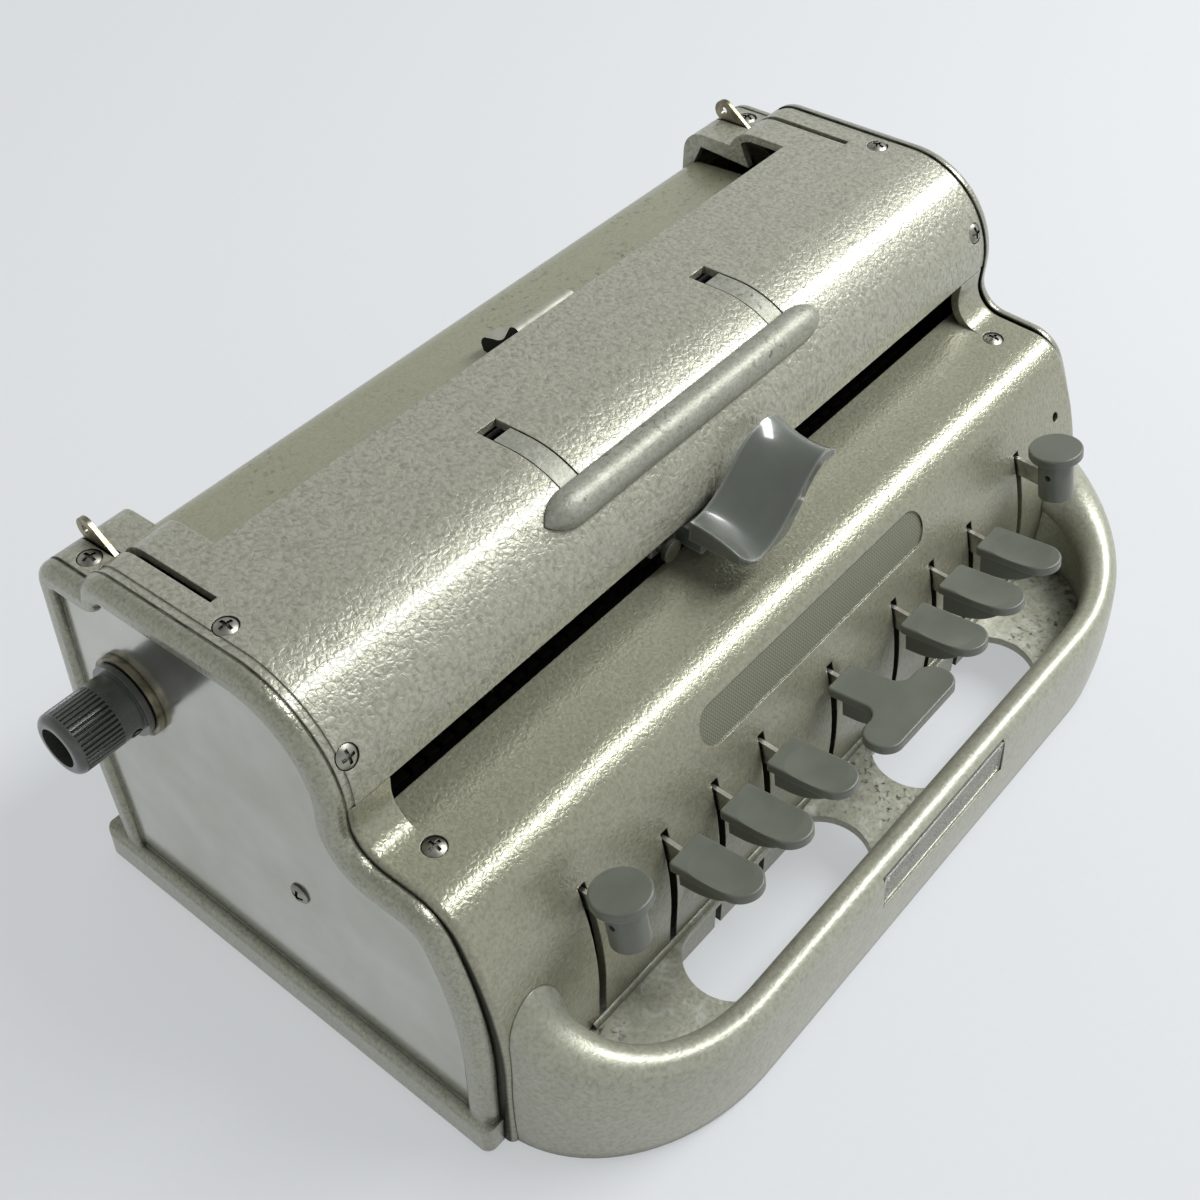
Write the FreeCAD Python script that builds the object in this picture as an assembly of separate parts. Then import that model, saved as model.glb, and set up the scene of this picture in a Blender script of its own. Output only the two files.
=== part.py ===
import FreeCAD, Part

# A manual braille writer: a cast aluminium casing with a rolled-lip handle tray in front,
# nine keys on one shaft, a paper drum turned by two side knobs, a carriage that carries the
# embossing head along two rails, a folding reading rest and two paper release levers.
# Frame: +X to the typist's right, +Y to the rear, +Z up, origin under the middle at table level.

import math
import os

V = FreeCAD.Vector

# ---- driving dimensions, mm and degrees ----

# general
WALL = 3.0                # wall of every casting
SEAM = 0.3                # open joint between neighbouring castings
RUN = 0.05                # radial clearance of a pin or shaft in its bore
FREE = 0.3                # clearance of moving faces that only pass each other
BASE_Z = 1.5              # underside of the casing above the table
SHEET = 2.5               # thickness of the inner brackets and flanges

# casing section, seen from the side
CASING_HALF = 165.0       # middle to the end of the casing, where an end plate begins
PANEL_Y = -66.4           # foremost point of the front panel face
PANEL_Z = 33.0            # height where that face stands vertical
END_FACE_Y = -61.9        # the same point of an end plate, which the panel stands proud of
END_FACE_Z = 36.0
FACE_R = 125.0            # curve of both faces
FACE_FLARE = 1.1          # forward flare at the base
PANEL_RETURN = 7.0        # depth of the end walls of the front panel
PANEL_ROUND = 2.8         # rounding of its end edges
SHOULDER_R = 16.0
SHELF_Z = 101.5           # flat shelf behind the shoulder
SHELF_REAR_Y = -7.5
LIP_Y = -11.0             # front edge of the top cover
LIP_Z = 118.0
COVER_R = 35.0            # rolled front of the top cover
COVER_STEP = 0.5          # fine step round each end of the cover
COVER_STEP_W = 3.0
ROOF_SLOPE = 4.0
ROOF_REAR_Y = 78.0
EAVE_R = 12.0             # rear edge of the roof
EAVE_END = 18.0           # angle where the eave meets the rear hump
EAVE_SEAM = 50.0          # angle of the seam between cover and rear cap
HUMP_R = 9.0
HUMP_TOP_Z = 140.2
HUMP_START = 88.0         # angle where the hump's arc begins
REAR_Y = 109.7
REAR_BEND_Z = 80.0
REAR_R = 120.0
REAR_LEAN = 7.05
CORNER_R = 11.0           # concave riser at each end of the shelf
CORNER_HALF = CASING_HALF - 16.0

# openings of the casing
PAPER_HALF = CASING_HALF - 27.0
PAPER_FRONT_Y = 64.6      # rear edge of the cover over the paper opening
DECK_FRONT_Y = 76.0       # rolled front edge of the rear deck
DECK_FRONT_R = 3.5
DECK_FRONT_Z = 132.1
DECK_FALL = 7.5
DECK_EDGE_R = 10.0
DECK_SET = 0.7            # rear panel behind the end plate outline
CAP_BOTTOM_Z = 121.0
NAME_HALF = 62.3          # recess for a name plate
NAME_H = 14.0
NAME_DEPTH = 0.7
NAME_ANGLE = 153.9        # its middle on the face curve
VENT_X = CASING_HALF - 13.5
VENT_Z = 83.0
VENT_R = 1.9

# end plates
PLATE = 5.4
PLATE_BEAD = 4.2          # rounding of the outer edge
PLATE_RECESS = 2.4
PLATE_RIM = 8.5
RIM_ROUND = 2.2           # rounding between rim and sunk face
SKIRT = 1.5               # skirt beyond the end plate face
SKIRT_LAND = 3.6          # part of its thickness that stays square
SKIRT_H = 14.0
SKIRT_FRONT_Y = -64.0
SKIRT_REAR_Y = 110.0
LUG_HALF = 5.0            # tabs under the screws of the casings
LUG_T = 6.0

# handle tray
TRAY_HALF = CASING_HALF - 1.5
TRAY_FRONT_Y = -112.0
TRAY_SWELL = 0.75         # outward swell of the outer wall
TRAY_CORNER_X = 67.5      # half axes of the elliptic corners
TRAY_CORNER_Y = 51.0
TRAY_FLOOR_Z = 20.0
TRAY_BEAD_R = 2.0         # bead along the foot of the panel
TRAY_WALL = 5.0
LIP_R = 5.6               # rolled lip along the front
LIP_CENTRE_Z = 36.0
LIP_INSET = 1.2
ROOT_R = 13.0             # the lip swells to this at the casing
ROOT_CENTRE_Z = 53.0
ROOT_WALL = 36.0
ROOT_L = 12.0             # length of the root behind the swell
FLOOR_INSET = 2.0         # edge of the floor inside the foot of the wall
WINDOW_IN_X = 12.8
WINDOW_OUT_X = TRAY_HALF - TRAY_CORNER_X
WINDOW_REAR_Y = -69.0
WINDOW_FRONT_Y = -100.5
WINDOW_R = 15.7

# data plate on the front of the tray
PLATE_HALF = 37.0
PLATE_Z = 25.0
PLATE_H = 14.2
PLATE_T = 0.8
PLATE_FLOOR_Y = -111.2    # floor of its pocket at the lower edge
PLATE_LEAN = 4.0
PLATE_BORDER = 1.0
PLATE_SUNK = 0.2

# inner frames, rails and shafts
FRAME_HALF = CASING_HALF - 18.0
FRAME_T = 3.0
FRAME_FRONT_Y = -30.0
FRAME_REAR_Y = 92.0
FRAME_HOLE_Y = 42.0       # lightening hole
FRAME_HOLE_Z = 92.0
FRAME_HOLE_R = 15.0
DRUM_Y = 75.3
DRUM_Z = 105.1
DRUM_R = 20.0
DRUM_HALF = FRAME_HALF - 5.0
DRUM_WALL = 2.5
SHAFT_R = 5.0
SHAFT_OUT = 11.0          # shaft beyond the end plates
BUSH_R = 9.0
BUSH_LIP = 1.5
FRONT_RAIL_Y = 8.0
FRONT_RAIL_Z = 112.0
FRONT_RAIL_R = 5.0
REAR_RAIL_Y = 46.0
REAR_RAIL_Z = 134.0
REAR_RAIL_R = 4.0
RAIL_BOSS = 4.0           # wall of the carriage round a rail
KEY_SHAFT_Y = 14.0
KEY_SHAFT_Z = 40.0
KEY_SHAFT_R = 4.0
CELL_PITCH = 6.35         # one braille cell

# feet
FOOT_X = CASING_HALF - 27.0
FOOT_Y = (-46.0, 82.0)
FOOT_R = 9.0

# ratchet and pawl of the line feed
RATCHET_T = 3.0
RATCHET_R = 16.0
RATCHET_TEETH = 24
RATCHET_TOOTH = 2.0
RATCHET_GAP = 0.5
PAWL_Y = 40.0
PAWL_PIN_R = 2.5
PAWL_R = 4.5
PAWL_TAIL = 13.4          # balances the arm about the pin

# bell and mainspring
BELL_Y = -18.0
BELL_Z = 64.0
BELL_R = 20.0
BELL_WALL = 1.4
STUD_R = 2.5
SPRING_X = 22.0 - FRAME_HALF
SPRING_Y = 60.0
SPRING_Z = 58.0
SPRING_R = 18.0
SPRING_W = 13.0
SPRING_FLANGE = 1.2
ARBOR_R = 3.0

# knobs
KNOB_L = 25.1             # knob tip beyond the end plate
KNOB_R = 10.35
KNOB_FLANGE_R = 12.3
KNOB_FLANGE_T = 2.0
KNOB_COLLAR = 7.0
KNOB_RIBS = 40
KNOB_RIB_H = 0.8
KNOB_BORE_R = 6.7
KNOB_NOSE_R = 2.5
WASHER_R = 13.8

# keys
DOT_X = (38.4, 62.6, 87.6)
ROUND_X = FRAME_HALF - 24.4
LEVER_T = 1.6
LEVER_TAIL = 30.0         # lever behind the key shaft
KEY_SLOT = 3.3
DOT_SLOT_TOP = 72.6
ROUND_SLOT_TOP = 80.6
DOT_STEM_LOW = 61.5
DOT_STEM_HIGH = 69.7
ROUND_STEM_LOW = 72.5
ROUND_STEM_HIGH = 79.3
HUB_R = 8.0
HUB_HALF = 3.0
CAP_W = 14.9
CAP_L = 28.4
CAP_REAR_Y = -67.2
CAP_TOP_Z = 71.0          # top of a cap at its rear edge
CAP_TILT = 9.5            # rise towards the front
CAP_RIM = 3.0
CAP_SOFT = 0.8            # rounding of the top edges
CAP_DISH_R = 70.0
CAP_DISH = 0.7
CAP_CORNER_R = 1.5
CAP_WEB = 11.0            # rib under a cap
CAP_WEB_W = 6.0
CAP_WEB_R = 24.0
CAP_STEM = 10.0           # lever held inside the cap
SPACE_NECK = 3.1          # neck of the space key behind the dot keys
SPACE_BAR_HALF = 21.0
SPACE_BAR_REAR = 16.5     # bar from here to its front, along the cap
SPACE_BAR_FRONT = 30.2
SPACE_ROUND = 5.0
ROUND_CAP_R = 9.5
ROUND_CAP_Y = -71.0
ROUND_CAP_TOP_Z = 91.2
ROUND_TILT = 13.0
ROUND_POST_R = 6.2
ROUND_POST_L = 19.8       # top of the cap to the foot of its post
ROUND_HOLE = 9.7          # cross hole below the top
ROUND_HOLE_R = 1.2
COIL_R = 6.2              # return springs
COIL_L = 6.0
SPRING_BAR_Y = 40.0
SPRING_BAR_TOP_Z = KEY_SHAFT_Z - COIL_R

# carriage
CARRIAGE_LEFT = -20.0
CARRIAGE_RIGHT = 18.0
CARRIAGE_R = 26.0
CARRIAGE_T = 6.5
CARRIAGE_PLATE_Y = -2.0
HEAD_LEFT = -8.0
HEAD_RIGHT = 20.0
HEAD_FRONT_Y = 60.0
HEAD_BODY_Y = 76.6        # rear of the body, in front of its tongue
HEAD_REAR_Y = 82.6
HEAD_CREST_Z = 149.3
HEAD_CREST_R = 2.6
HEAD_SWEEP_Z = 140.2      # foot of the sweep behind the crest
HEAD_SWEEP_R = 6.3
HEAD_TIP_R = 3.2
HEAD_TONGUE_W = 7.0
HEAD_ROUND = 12.0         # plan rounding of the body's right rear corner
HEAD_GAP = 1.0            # head above drum and deck
PIVOT_X = -23.0
PIVOT_Z = 109.8
PIVOT_R = 2.5
PIVOT_REACH = 7.4         # shank of the pivot screw in front of the carriage
SADDLE_SOLE_Z = 112.5
SADDLE_REAR_Y = -13.3
SADDLE_FRONT_Y = -35.9
SADDLE_CORNER_R = 7.0     # plan rounding of the front left corner
SADDLE_DROPS = (2.6, 4.2, 7.0)    # thickness at the right end and at the next points
SADDLE_REAR = ((-18.0, 120.2), (-9.2, 121.4), (0.0, 128.0), (9.7, 136.9), (19.5, 138.5), (28.0, 134.3))
SADDLE_VALLEY = ((-17.5, 119.0), (-7.2, 117.4), (1.7, 123.2), (11.5, 131.4), (19.8, 135.2), (27.2, 131.6))
SADDLE_FRONT = ((-17.0, 114.8), (-8.0, 114.2), (1.8, 120.2), (11.2, 130.3), (20.5, 136.3), (26.5, 133.8))

# reading rest and paper release levers
REST_ARM_X = 52.3
REST_ARM_W = 7.6
REST_SLOT_W = 8.6
REST_SLOT_REAR_Y = 40.0
REST_SLOT_ANGLE = 135.0
REST_SINK = 0.2           # arms below the skin of the cover
REST_PIN_Y = 31.5
REST_PIN_Z = 147.5
REST_PIN_R = 1.2
REST_EYE_R = 2.6
REST_EAR = 3.0            # ears that hold the pins
REST_BAR_HALF = 69.5
REST_BAR_R = 6.0
REST_BAR_TIP = 12.0       # length of the pointed ends
REST_BAR_ANGLE = 128.5
RELEASE_X = CASING_HALF - 11.25
RELEASE_SLOT = 2.6
RELEASE_T = 1.6
RELEASE_W = 8.0
RELEASE_Y = 64.6
RELEASE_Z = 118.9
RELEASE_TIP_Y = 102.5
RELEASE_TIP_Z = 143.8
RELEASE_FRONT_Y = 47.3
RELEASE_REAR_Y = 105.0
RELEASE_PIN_R = 2.5
RELEASE_HOLE_R = 1.5

# margin rack and stops
RACK_Y = 99.5
RACK_T = 2.5
RACK_Z = 102.0
RACK_H = 9.0
STOP_SLOT_HALF = FRAME_HALF - 20.0
STOP_X = FRAME_HALF - 30.0
STOP_W = 12.0
STOP_TAB_Z = 106.0
STOP_TAB_T = 3.0
STOP_FIT = 0.15

# fasteners
HEAD_R = 3.6
HEAD_H = 1.8
HEAD_RIM = 0.6
CROSS_L = 4.6             # cross recess in a screw head
CROSS_W = 1.1
CROSS_DEPTH = 1.1
SHANK_R = 1.9
SHANK_L = 8.0
SINK = 1.0                # depth of the seat under a screw head
COVER_SCREW_X = CASING_HALF - 6.5
ROOF_SCREW_Y = 37.1
FRONT_SCREW_ANGLE = 153.7
FRONT_SCREW_X = CASING_HALF - 5.5
CAP_SCREW_X = CASING_HALF - 5.7
CAP_SCREW_Y = 95.8
PANEL_SCREW_X = CASING_HALF - 15.1
PANEL_SCREW_Y = -27.3
END_SCREW_Y = 11.8
END_SCREW_Z = 62.8

# what follows from them
THROUGH = 2.0 * CASING_HALF   # half length of a cutter that passes right through
PLATE_IN_X = CASING_HALF + SEAM
PLATE_OUT_X = PLATE_IN_X + PLATE
PLATE_FACE_X = PLATE_OUT_X - PLATE_RECESS
KNOB_TIP_X = PLATE_OUT_X + KNOB_L
RATCHET_X = RATCHET_GAP + FREE + RATCHET_T + DRUM_HALF


# ---- helpers ----

def yz(point, x=0.0):
    """A (y, z) pair in the plane at x."""
    return V(x, point[0], point[1])


def polar(centre, radius, angle):
    """The (y, z) point on a circle, angle from +Y towards +Z."""
    turn = math.radians(angle)
    return centre[0] + radius * math.cos(turn), centre[1] + radius * math.sin(turn)


def path(*parts):
    """Edges in the YZ plane through points (y, z) and arcs (centre, radius, start, end)."""
    edges = []
    last = None
    for part in parts:
        is_arc = len(part) == 4
        first = polar(part[0], part[1], part[2]) if is_arc else part
        if last and math.dist(last, first) > 1e-6:
            edges.append(Part.LineSegment(yz(last), yz(first)).toShape())
        last = first
        if is_arc:
            centre, radius, start, end = part
            middle = polar(centre, radius, (start + end) / 2)
            last = polar(centre, radius, end)
            edges.append(Part.Arc(yz(first), yz(middle), yz(last)).toShape())
    return edges


def closed(*parts):
    """A face in the YZ plane bounded by a path that closes on itself."""
    first = parts[0]
    start = polar(first[0], first[1], first[2]) if len(first) == 4 else first
    return Part.Face(Part.Wire(path(*parts, start)))


def along(face, x0, x1):
    """A face in the YZ plane extruded from x0 to x1."""
    solid = face.extrude(V(x1 - x0, 0, 0))
    solid.translate(V(x0, 0, 0))
    return solid


def shell(parts, wall, x0, x1):
    """A wall laid inside a path that runs from the front over the top to the rear."""
    return along(Part.Wire(path(*parts)).makeOffset2D(wall, 0, True, True), x0, x1)


def box(x0, x1, y0, y1, z0, z1):
    return Part.makeBox(x1 - x0, y1 - y0, z1 - z0, V(x0, y0, z0))


def rod(radius, x0, x1, y, z):
    """A round bar along X."""
    return Part.makeCylinder(radius, x1 - x0, V(x0, y, z), V(1, 0, 0))


def bore(radius, y, z):
    """A cutter along X that passes right through."""
    return rod(radius, -THROUGH, THROUGH, y, z)


def post(radius, z0, z1, x, y):
    """A round bar along Z."""
    return Part.makeCylinder(radius, z1 - z0, V(x, y, z0), V(0, 0, 1))


def pin_y(radius, y0, y1, x, z):
    """A round bar along Y."""
    return Part.makeCylinder(radius, y1 - y0, V(x, y0, z), V(0, 1, 0))


def slot(x0, x1, y0, y1, z0, z1, radius):
    """A prism along Z with rounded corners."""
    block = box(x0, x1, y0, y1, z0, z1)
    corners = [e for e in block.Edges if abs(e.tangentAt(e.FirstParameter).z) > 0.9]
    return block.makeFillet(radius, corners)


def fuse(*shapes):
    return shapes[0].fuse(list(shapes[1:])).removeSplitter()


def cut(shape, *tools):
    return shape.cut(list(tools))


def mirrored(shape):
    return shape.mirror(V(0, 0, 0), V(1, 0, 0))


def both(shape):
    """A shape and its mirror image as separate solids."""
    return Part.makeCompound([shape, mirrored(shape)])


def edges_where(shape, test):
    return [edge for edge in shape.Edges if test(edge)]


def stand(shape, seat, normal):
    """Move a shape built upright at the origin onto a seat, its top along the normal."""
    shape.Placement = FreeCAD.Placement(seat, FreeCAD.Rotation(V(0, 0, 1), normal))
    return shape


def screw(seat, normal):
    """A screw with a low domed head and a cross recess, its shank running against the normal."""
    rise = HEAD_H - HEAD_RIM
    dome_r = (HEAD_R ** 2 + rise ** 2) / (2 * rise)
    dome = Part.makeSphere(dome_r, V(0, 0, HEAD_H - dome_r))
    head = Part.makeCylinder(HEAD_R, HEAD_H).common(dome)
    shank = Part.makeCylinder(SHANK_R, SHANK_L, V(0, 0, -SHANK_L))
    arm = box(-CROSS_L / 2, CROSS_L / 2, -CROSS_W / 2, CROSS_W / 2, HEAD_H - CROSS_DEPTH, HEAD_H)
    other = arm.copy()
    other.rotate(V(0, 0, 0), V(0, 0, 1), 90.0)
    return stand(cut(fuse(head, shank), arm, other), seat, normal)


def screw_seat(seat, normal):
    """The counterbore and clearance hole of a screw."""
    room = Part.makeCylinder(HEAD_R + FREE, SHANK_L)
    hole = Part.makeCylinder(SHANK_R + RUN, 3 * SHANK_L, V(0, 0, -2 * SHANK_L))
    return stand(fuse(room, hole), seat, normal)


# ---- the side outline of the casing ----

PANEL_FACE = (PANEL_Y + FACE_R, PANEL_Z)
END_FACE = (END_FACE_Y + FACE_R, END_FACE_Z)
COVER = (LIP_Y + COVER_R, LIP_Z)
ROOF_NORMAL = 90.0 - ROOF_SLOPE
ROOF_START = polar(COVER, COVER_R, ROOF_NORMAL)
ROOF_FALL = math.tan(math.radians(ROOF_SLOPE))


def roof_z(y, depth=0.0):
    """Height of the roof at y, or of a face parallel to it at some depth."""
    return ROOF_START[1] - (y - ROOF_START[0]) * ROOF_FALL - depth / math.cos(math.radians(ROOF_SLOPE))


EAVE = polar((ROOF_REAR_Y, roof_z(ROOF_REAR_Y)), EAVE_R, ROOF_NORMAL - 180.0)
HUMP = (REAR_Y - HUMP_R, HUMP_TOP_Z - HUMP_R)


def cap_z(y, depth=0.0):
    """Height of a rear cap between eave and hump at y, or of a face parallel to it."""
    start = polar(EAVE, EAVE_R, EAVE_END)
    end = polar(HUMP, HUMP_R, HUMP_START)
    slope = (end[1] - start[1]) / (end[0] - start[0])
    return start[1] + (y - start[0]) * slope - depth * math.hypot(1.0, slope)


def front_path(face):
    """Flared foot, curved face about the given centre, and the shoulder up to the shelf."""
    reach = FACE_R - SHOULDER_R
    lean = math.asin((SHELF_Z - SHOULDER_R - face[1]) / reach)
    shoulder = (face[0] - reach * math.cos(lean), SHELF_Z - SHOULDER_R)
    top = 180.0 - math.degrees(lean)
    foot = (face[0] - FACE_R - FACE_FLARE, BASE_Z)
    return foot, (face, FACE_R, 180.0, top), (shoulder, SHOULDER_R, top, 90.0)


PANEL_PATH = front_path(PANEL_FACE)
SHELF_FRONT_Y = PANEL_PATH[2][0][0]
RISER = (LIP_Y - CORNER_R, SHELF_Z + CORNER_R)
RISER_PATH = ((RISER, CORNER_R, -90.0, 0.0), (LIP_Y, LIP_Z - SEAM))
COVER_PATH = ((COVER, COVER_R, 180.0, ROOF_NORMAL), (EAVE, EAVE_R, ROOF_NORMAL, EAVE_SEAM))
CAP_SEAM = EAVE_SEAM - 2.0
CAP_PATH = (
    (EAVE, EAVE_R, CAP_SEAM, EAVE_END),
    (HUMP, HUMP_R, HUMP_START, 0.0),
    (REAR_Y, CAP_BOTTOM_Z),
)


def rear_path(inset, top):
    """The rear face from a height down to the base, some way inside the outline."""
    bend = (REAR_Y - REAR_R, REAR_BEND_Z)
    start = polar(bend, REAR_R, -REAR_LEAN)
    run = (start[1] - BASE_Z) * math.tan(math.radians(REAR_LEAN))
    foot = (start[0] - run - inset, BASE_Z)
    return (REAR_Y - inset, top), (bend, REAR_R - inset, 0.0, -REAR_LEAN), foot


def casing_outline():
    """The side view of the casing at an end plate."""
    return closed(
        *front_path(END_FACE),
        (RISER, CORNER_R, -90.0, 0.0),
        (COVER, COVER_R, 180.0, ROOF_NORMAL),
        (EAVE, EAVE_R, ROOF_NORMAL, EAVE_END),
        (HUMP, HUMP_R, HUMP_START, 0.0),
        *rear_path(0.0, HUMP[1])[1:],
    )


# screws of the right half: seat point and direction of the head

def cover_screws():
    """The two screws that hold each end of the top cover."""
    turn = math.radians(FRONT_SCREW_ANGLE)
    rolled = polar(COVER, COVER_R - SINK, FRONT_SCREW_ANGLE)
    return [
        (V(COVER_SCREW_X, ROOF_SCREW_Y, roof_z(ROOF_SCREW_Y) - SINK), V(0, 0, 1)),
        (yz(rolled, FRONT_SCREW_X), V(0, math.cos(turn), math.sin(turn))),
    ]


CAP_SCREW = (V(CAP_SCREW_X, CAP_SCREW_Y, cap_z(CAP_SCREW_Y) - SINK), V(0, 0, 1))
PANEL_SCREW = (V(PANEL_SCREW_X, PANEL_SCREW_Y, SHELF_Z - SINK), V(0, 0, 1))
END_SCREW = (V(PLATE_FACE_X, END_SCREW_Y, END_SCREW_Z), V(1, 0, 0))


# ---- casing ----

def front_panel():
    """Front casting: curved face, shelf, end risers, nine key slots and the name recess."""
    panel = shell((*PANEL_PATH, (SHELF_REAR_Y, SHELF_Z)), WALL, -CASING_HALF, CASING_HALF)
    riser = shell(((SHELF_FRONT_Y, SHELF_Z), *RISER_PATH), WALL, CORNER_HALF, CASING_HALF)
    end_wall = shell(PANEL_PATH, PANEL_RETURN, CASING_HALF - WALL, CASING_HALF)
    panel = fuse(panel, riser, mirrored(riser), end_wall, mirrored(end_wall))
    panel = panel.makeFillet(PANEL_ROUND, edges_where(panel, on_panel_end))
    slots = [key_slot(x, DOT_SLOT_TOP) for x in (0.0, *DOT_X, *[-d for d in DOT_X])]
    slots += [key_slot(x, ROUND_SLOT_TOP) for x in (ROUND_X, -ROUND_X)]
    seat = screw_seat(*PANEL_SCREW)
    vent = Part.makeCylinder(VENT_R, 20.0, V(VENT_X, PANEL_Y, VENT_Z), V(0, 1, -0.4))
    return cut(panel, *slots, seat, mirrored(seat), name_recess(), vent)


def on_panel_end(edge):
    """Whether an edge bounds the face of the front panel at its left or right end."""
    if abs(abs(edge.BoundBox.Center.x) - CASING_HALF) > 0.01:
        return False
    middle = edge.valueAt((edge.FirstParameter + edge.LastParameter) / 2)
    face = Part.Wire(path(*PANEL_PATH))
    return face.distToShape(Part.Vertex(0, middle.y, middle.z))[0] < 0.001


def name_recess():
    """Shallow round-ended recess that follows the curve of the face."""
    skin = shell(PANEL_PATH, NAME_DEPTH, -NAME_HALF, NAME_HALF)
    prism = slot(-NAME_HALF, NAME_HALF, -NAME_H / 2, NAME_H / 2, -WALL, WALL, NAME_H / 2 - 0.01)
    turn = math.radians(NAME_ANGLE)
    middle = polar(PANEL_FACE, FACE_R, NAME_ANGLE)
    return skin.common(stand(prism, yz(middle), V(0, math.cos(turn), math.sin(turn))))


def key_slot(x, top):
    half = KEY_SLOT / 2
    return box(x - half, x + half, PANEL_Y - 10.0, PANEL_Y + 30.0, BASE_Z - 1.0, top)


def top_cover():
    """Rolled cover with the paper opening, the rest slots and the release slots."""
    cover = shell(COVER_PATH, WALL, -CASING_HALF, CASING_HALF)
    step = shell(COVER_PATH, COVER_STEP, CASING_HALF - COVER_STEP_W, CASING_HALF)
    opening = box(-PAPER_HALF, PAPER_HALF, PAPER_FRONT_Y, REAR_Y, CAP_BOTTOM_Z, roof_z(0.0) + 1.0)
    tools = [opening, step, mirrored(step)]
    front_y = polar(COVER, COVER_R, REST_SLOT_ANGLE)[0]
    low_z = polar(COVER, COVER_R - 2 * WALL, REST_SLOT_ANGLE)[1]
    half = REST_SLOT_W / 2
    for side in (1, -1):
        middle = side * REST_ARM_X
        tools.append(box(middle - half, middle + half, front_y, REST_SLOT_REAR_Y, low_z, roof_z(0.0)))
        tools.append(release_slot(side))
    for place in cover_screws():
        tool = screw_seat(*place)
        tools.extend([tool, mirrored(tool)])
    return cut(cover, *tools)


def release_slot(side):
    middle = side * RELEASE_X
    half = RELEASE_SLOT / 2
    return box(middle - half, middle + half, RELEASE_FRONT_Y, RELEASE_REAR_Y, CAP_BOTTOM_Z + 8.0, roof_z(0.0))


def rear_cap():
    """Right rear cap: wavy top, closed inner end and the slot of the release lever."""
    inner_x = PAPER_HALF + SEAM
    cap = shell(CAP_PATH, WALL, inner_x, CASING_HALF)
    inner = closed(
        polar(EAVE, EAVE_R, CAP_SEAM),
        *CAP_PATH,
        (REAR_Y - WALL, CAP_BOTTOM_Z),
        (REAR_Y - 8.0, DECK_FRONT_Z + 3.0),
        (EAVE[0] + 2.0, DECK_FRONT_Z + 3.0),
    )
    cap = fuse(cap, along(inner, inner_x, inner_x + WALL))
    return cut(cap, release_slot(1), screw_seat(*CAP_SCREW))


def rear_panel():
    """Smooth rear deck and back with the long slot of the margin stops."""
    fall = math.radians(DECK_FALL)
    edge_y = REAR_Y - DECK_SET - DECK_EDGE_R
    edge_top = DECK_FRONT_Z - (edge_y - DECK_FRONT_Y) * math.tan(fall)
    edge = (edge_y, edge_top - DECK_EDGE_R / math.cos(fall))
    back = rear_path(DECK_SET, edge[1])
    roll_y = DECK_FRONT_Y + DECK_FRONT_R
    roll = (roll_y, DECK_FRONT_Z - DECK_FRONT_R * (math.tan(fall) + 1.0 / math.cos(fall)))
    parts = (
        (roll, DECK_FRONT_R, 180.0, 90.0 - DECK_FALL),
        (edge, DECK_EDGE_R, 90.0 - DECK_FALL, 0.0),
        *back[1:],
    )
    panel = shell(parts, WALL, -CASING_HALF, CASING_HALF)
    corner = box(
        PAPER_HALF, CASING_HALF + 1.0, DECK_FRONT_Y - 5.0, REAR_Y + 1.0,
        CAP_BOTTOM_Z - SEAM, DECK_FRONT_Z + 1.0,
    )
    half = STOP_SLOT_HALF
    stops = box(-half, half, REAR_Y - 10.0, REAR_Y + 5.0, STOP_TAB_Z - FREE, STOP_TAB_Z + STOP_TAB_T + FREE)
    return cut(panel, corner, mirrored(corner), stops)


def end_plate():
    """Right end plate: beaded rim, sunk face, base skirt and the lugs that take the screws."""
    plate = along(casing_outline(), PLATE_IN_X, PLATE_OUT_X)
    rim = edges_where(
        plate, lambda e: e.BoundBox.XMin > PLATE_OUT_X - 0.01 and e.BoundBox.ZMax > BASE_Z + 0.1)
    plate = plate.makeFillet(PLATE_BEAD, rim)
    inner = casing_outline().makeOffset2D(-PLATE_RIM)
    sunk = along(inner, PLATE_FACE_X, PLATE_OUT_X + PLATE)
    low = box(
        PLATE_FACE_X, PLATE_OUT_X + PLATE, SKIRT_FRONT_Y + 2 * PLATE_RIM, SKIRT_REAR_Y - 2 * PLATE_RIM,
        BASE_Z - 1.0, SKIRT_H + PLATE_RIM,
    )
    plate = cut(plate, fuse(sunk, low))
    brow = edges_where(plate, lambda e: on_sunk_rim(e, inner))
    plate = plate.makeFillet(RIM_ROUND, brow)
    skirt = box(PLATE_IN_X, PLATE_OUT_X + SKIRT, SKIRT_FRONT_Y, SKIRT_REAR_Y, BASE_Z, SKIRT_H)
    round_off = edges_where(
        skirt,
        lambda e: e.BoundBox.XMin > PLATE_OUT_X
        and (e.BoundBox.ZMin > SKIRT_H - 0.1 or e.BoundBox.ZLength > 5.0),
    )
    skirt = skirt.makeFillet(PLATE + SKIRT - SKIRT_LAND, round_off)
    tools = [screw_seat(*place) for place in (CAP_SCREW, PANEL_SCREW, *cover_screws())]
    tools.append(bore(SHAFT_R + 1.0, DRUM_Y, DRUM_Z))
    tools.append(bore(SHANK_R + RUN, END_SCREW_Y, END_SCREW_Z))
    return cut(fuse(plate, skirt, *end_lugs()), *tools)


def on_sunk_rim(edge, inner):
    """Whether an edge lies on the top of the rim, along the border of the sunk face."""
    bounds = edge.BoundBox
    if bounds.XMin < PLATE_OUT_X - 0.01 or bounds.ZMin < SKIRT_H + PLATE_RIM - 0.01:
        return False
    middle = edge.valueAt((edge.FirstParameter + edge.LastParameter) / 2)
    border = inner.OuterWire
    return border.distToShape(Part.Vertex(0, middle.y, middle.z))[0] < 0.001


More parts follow.
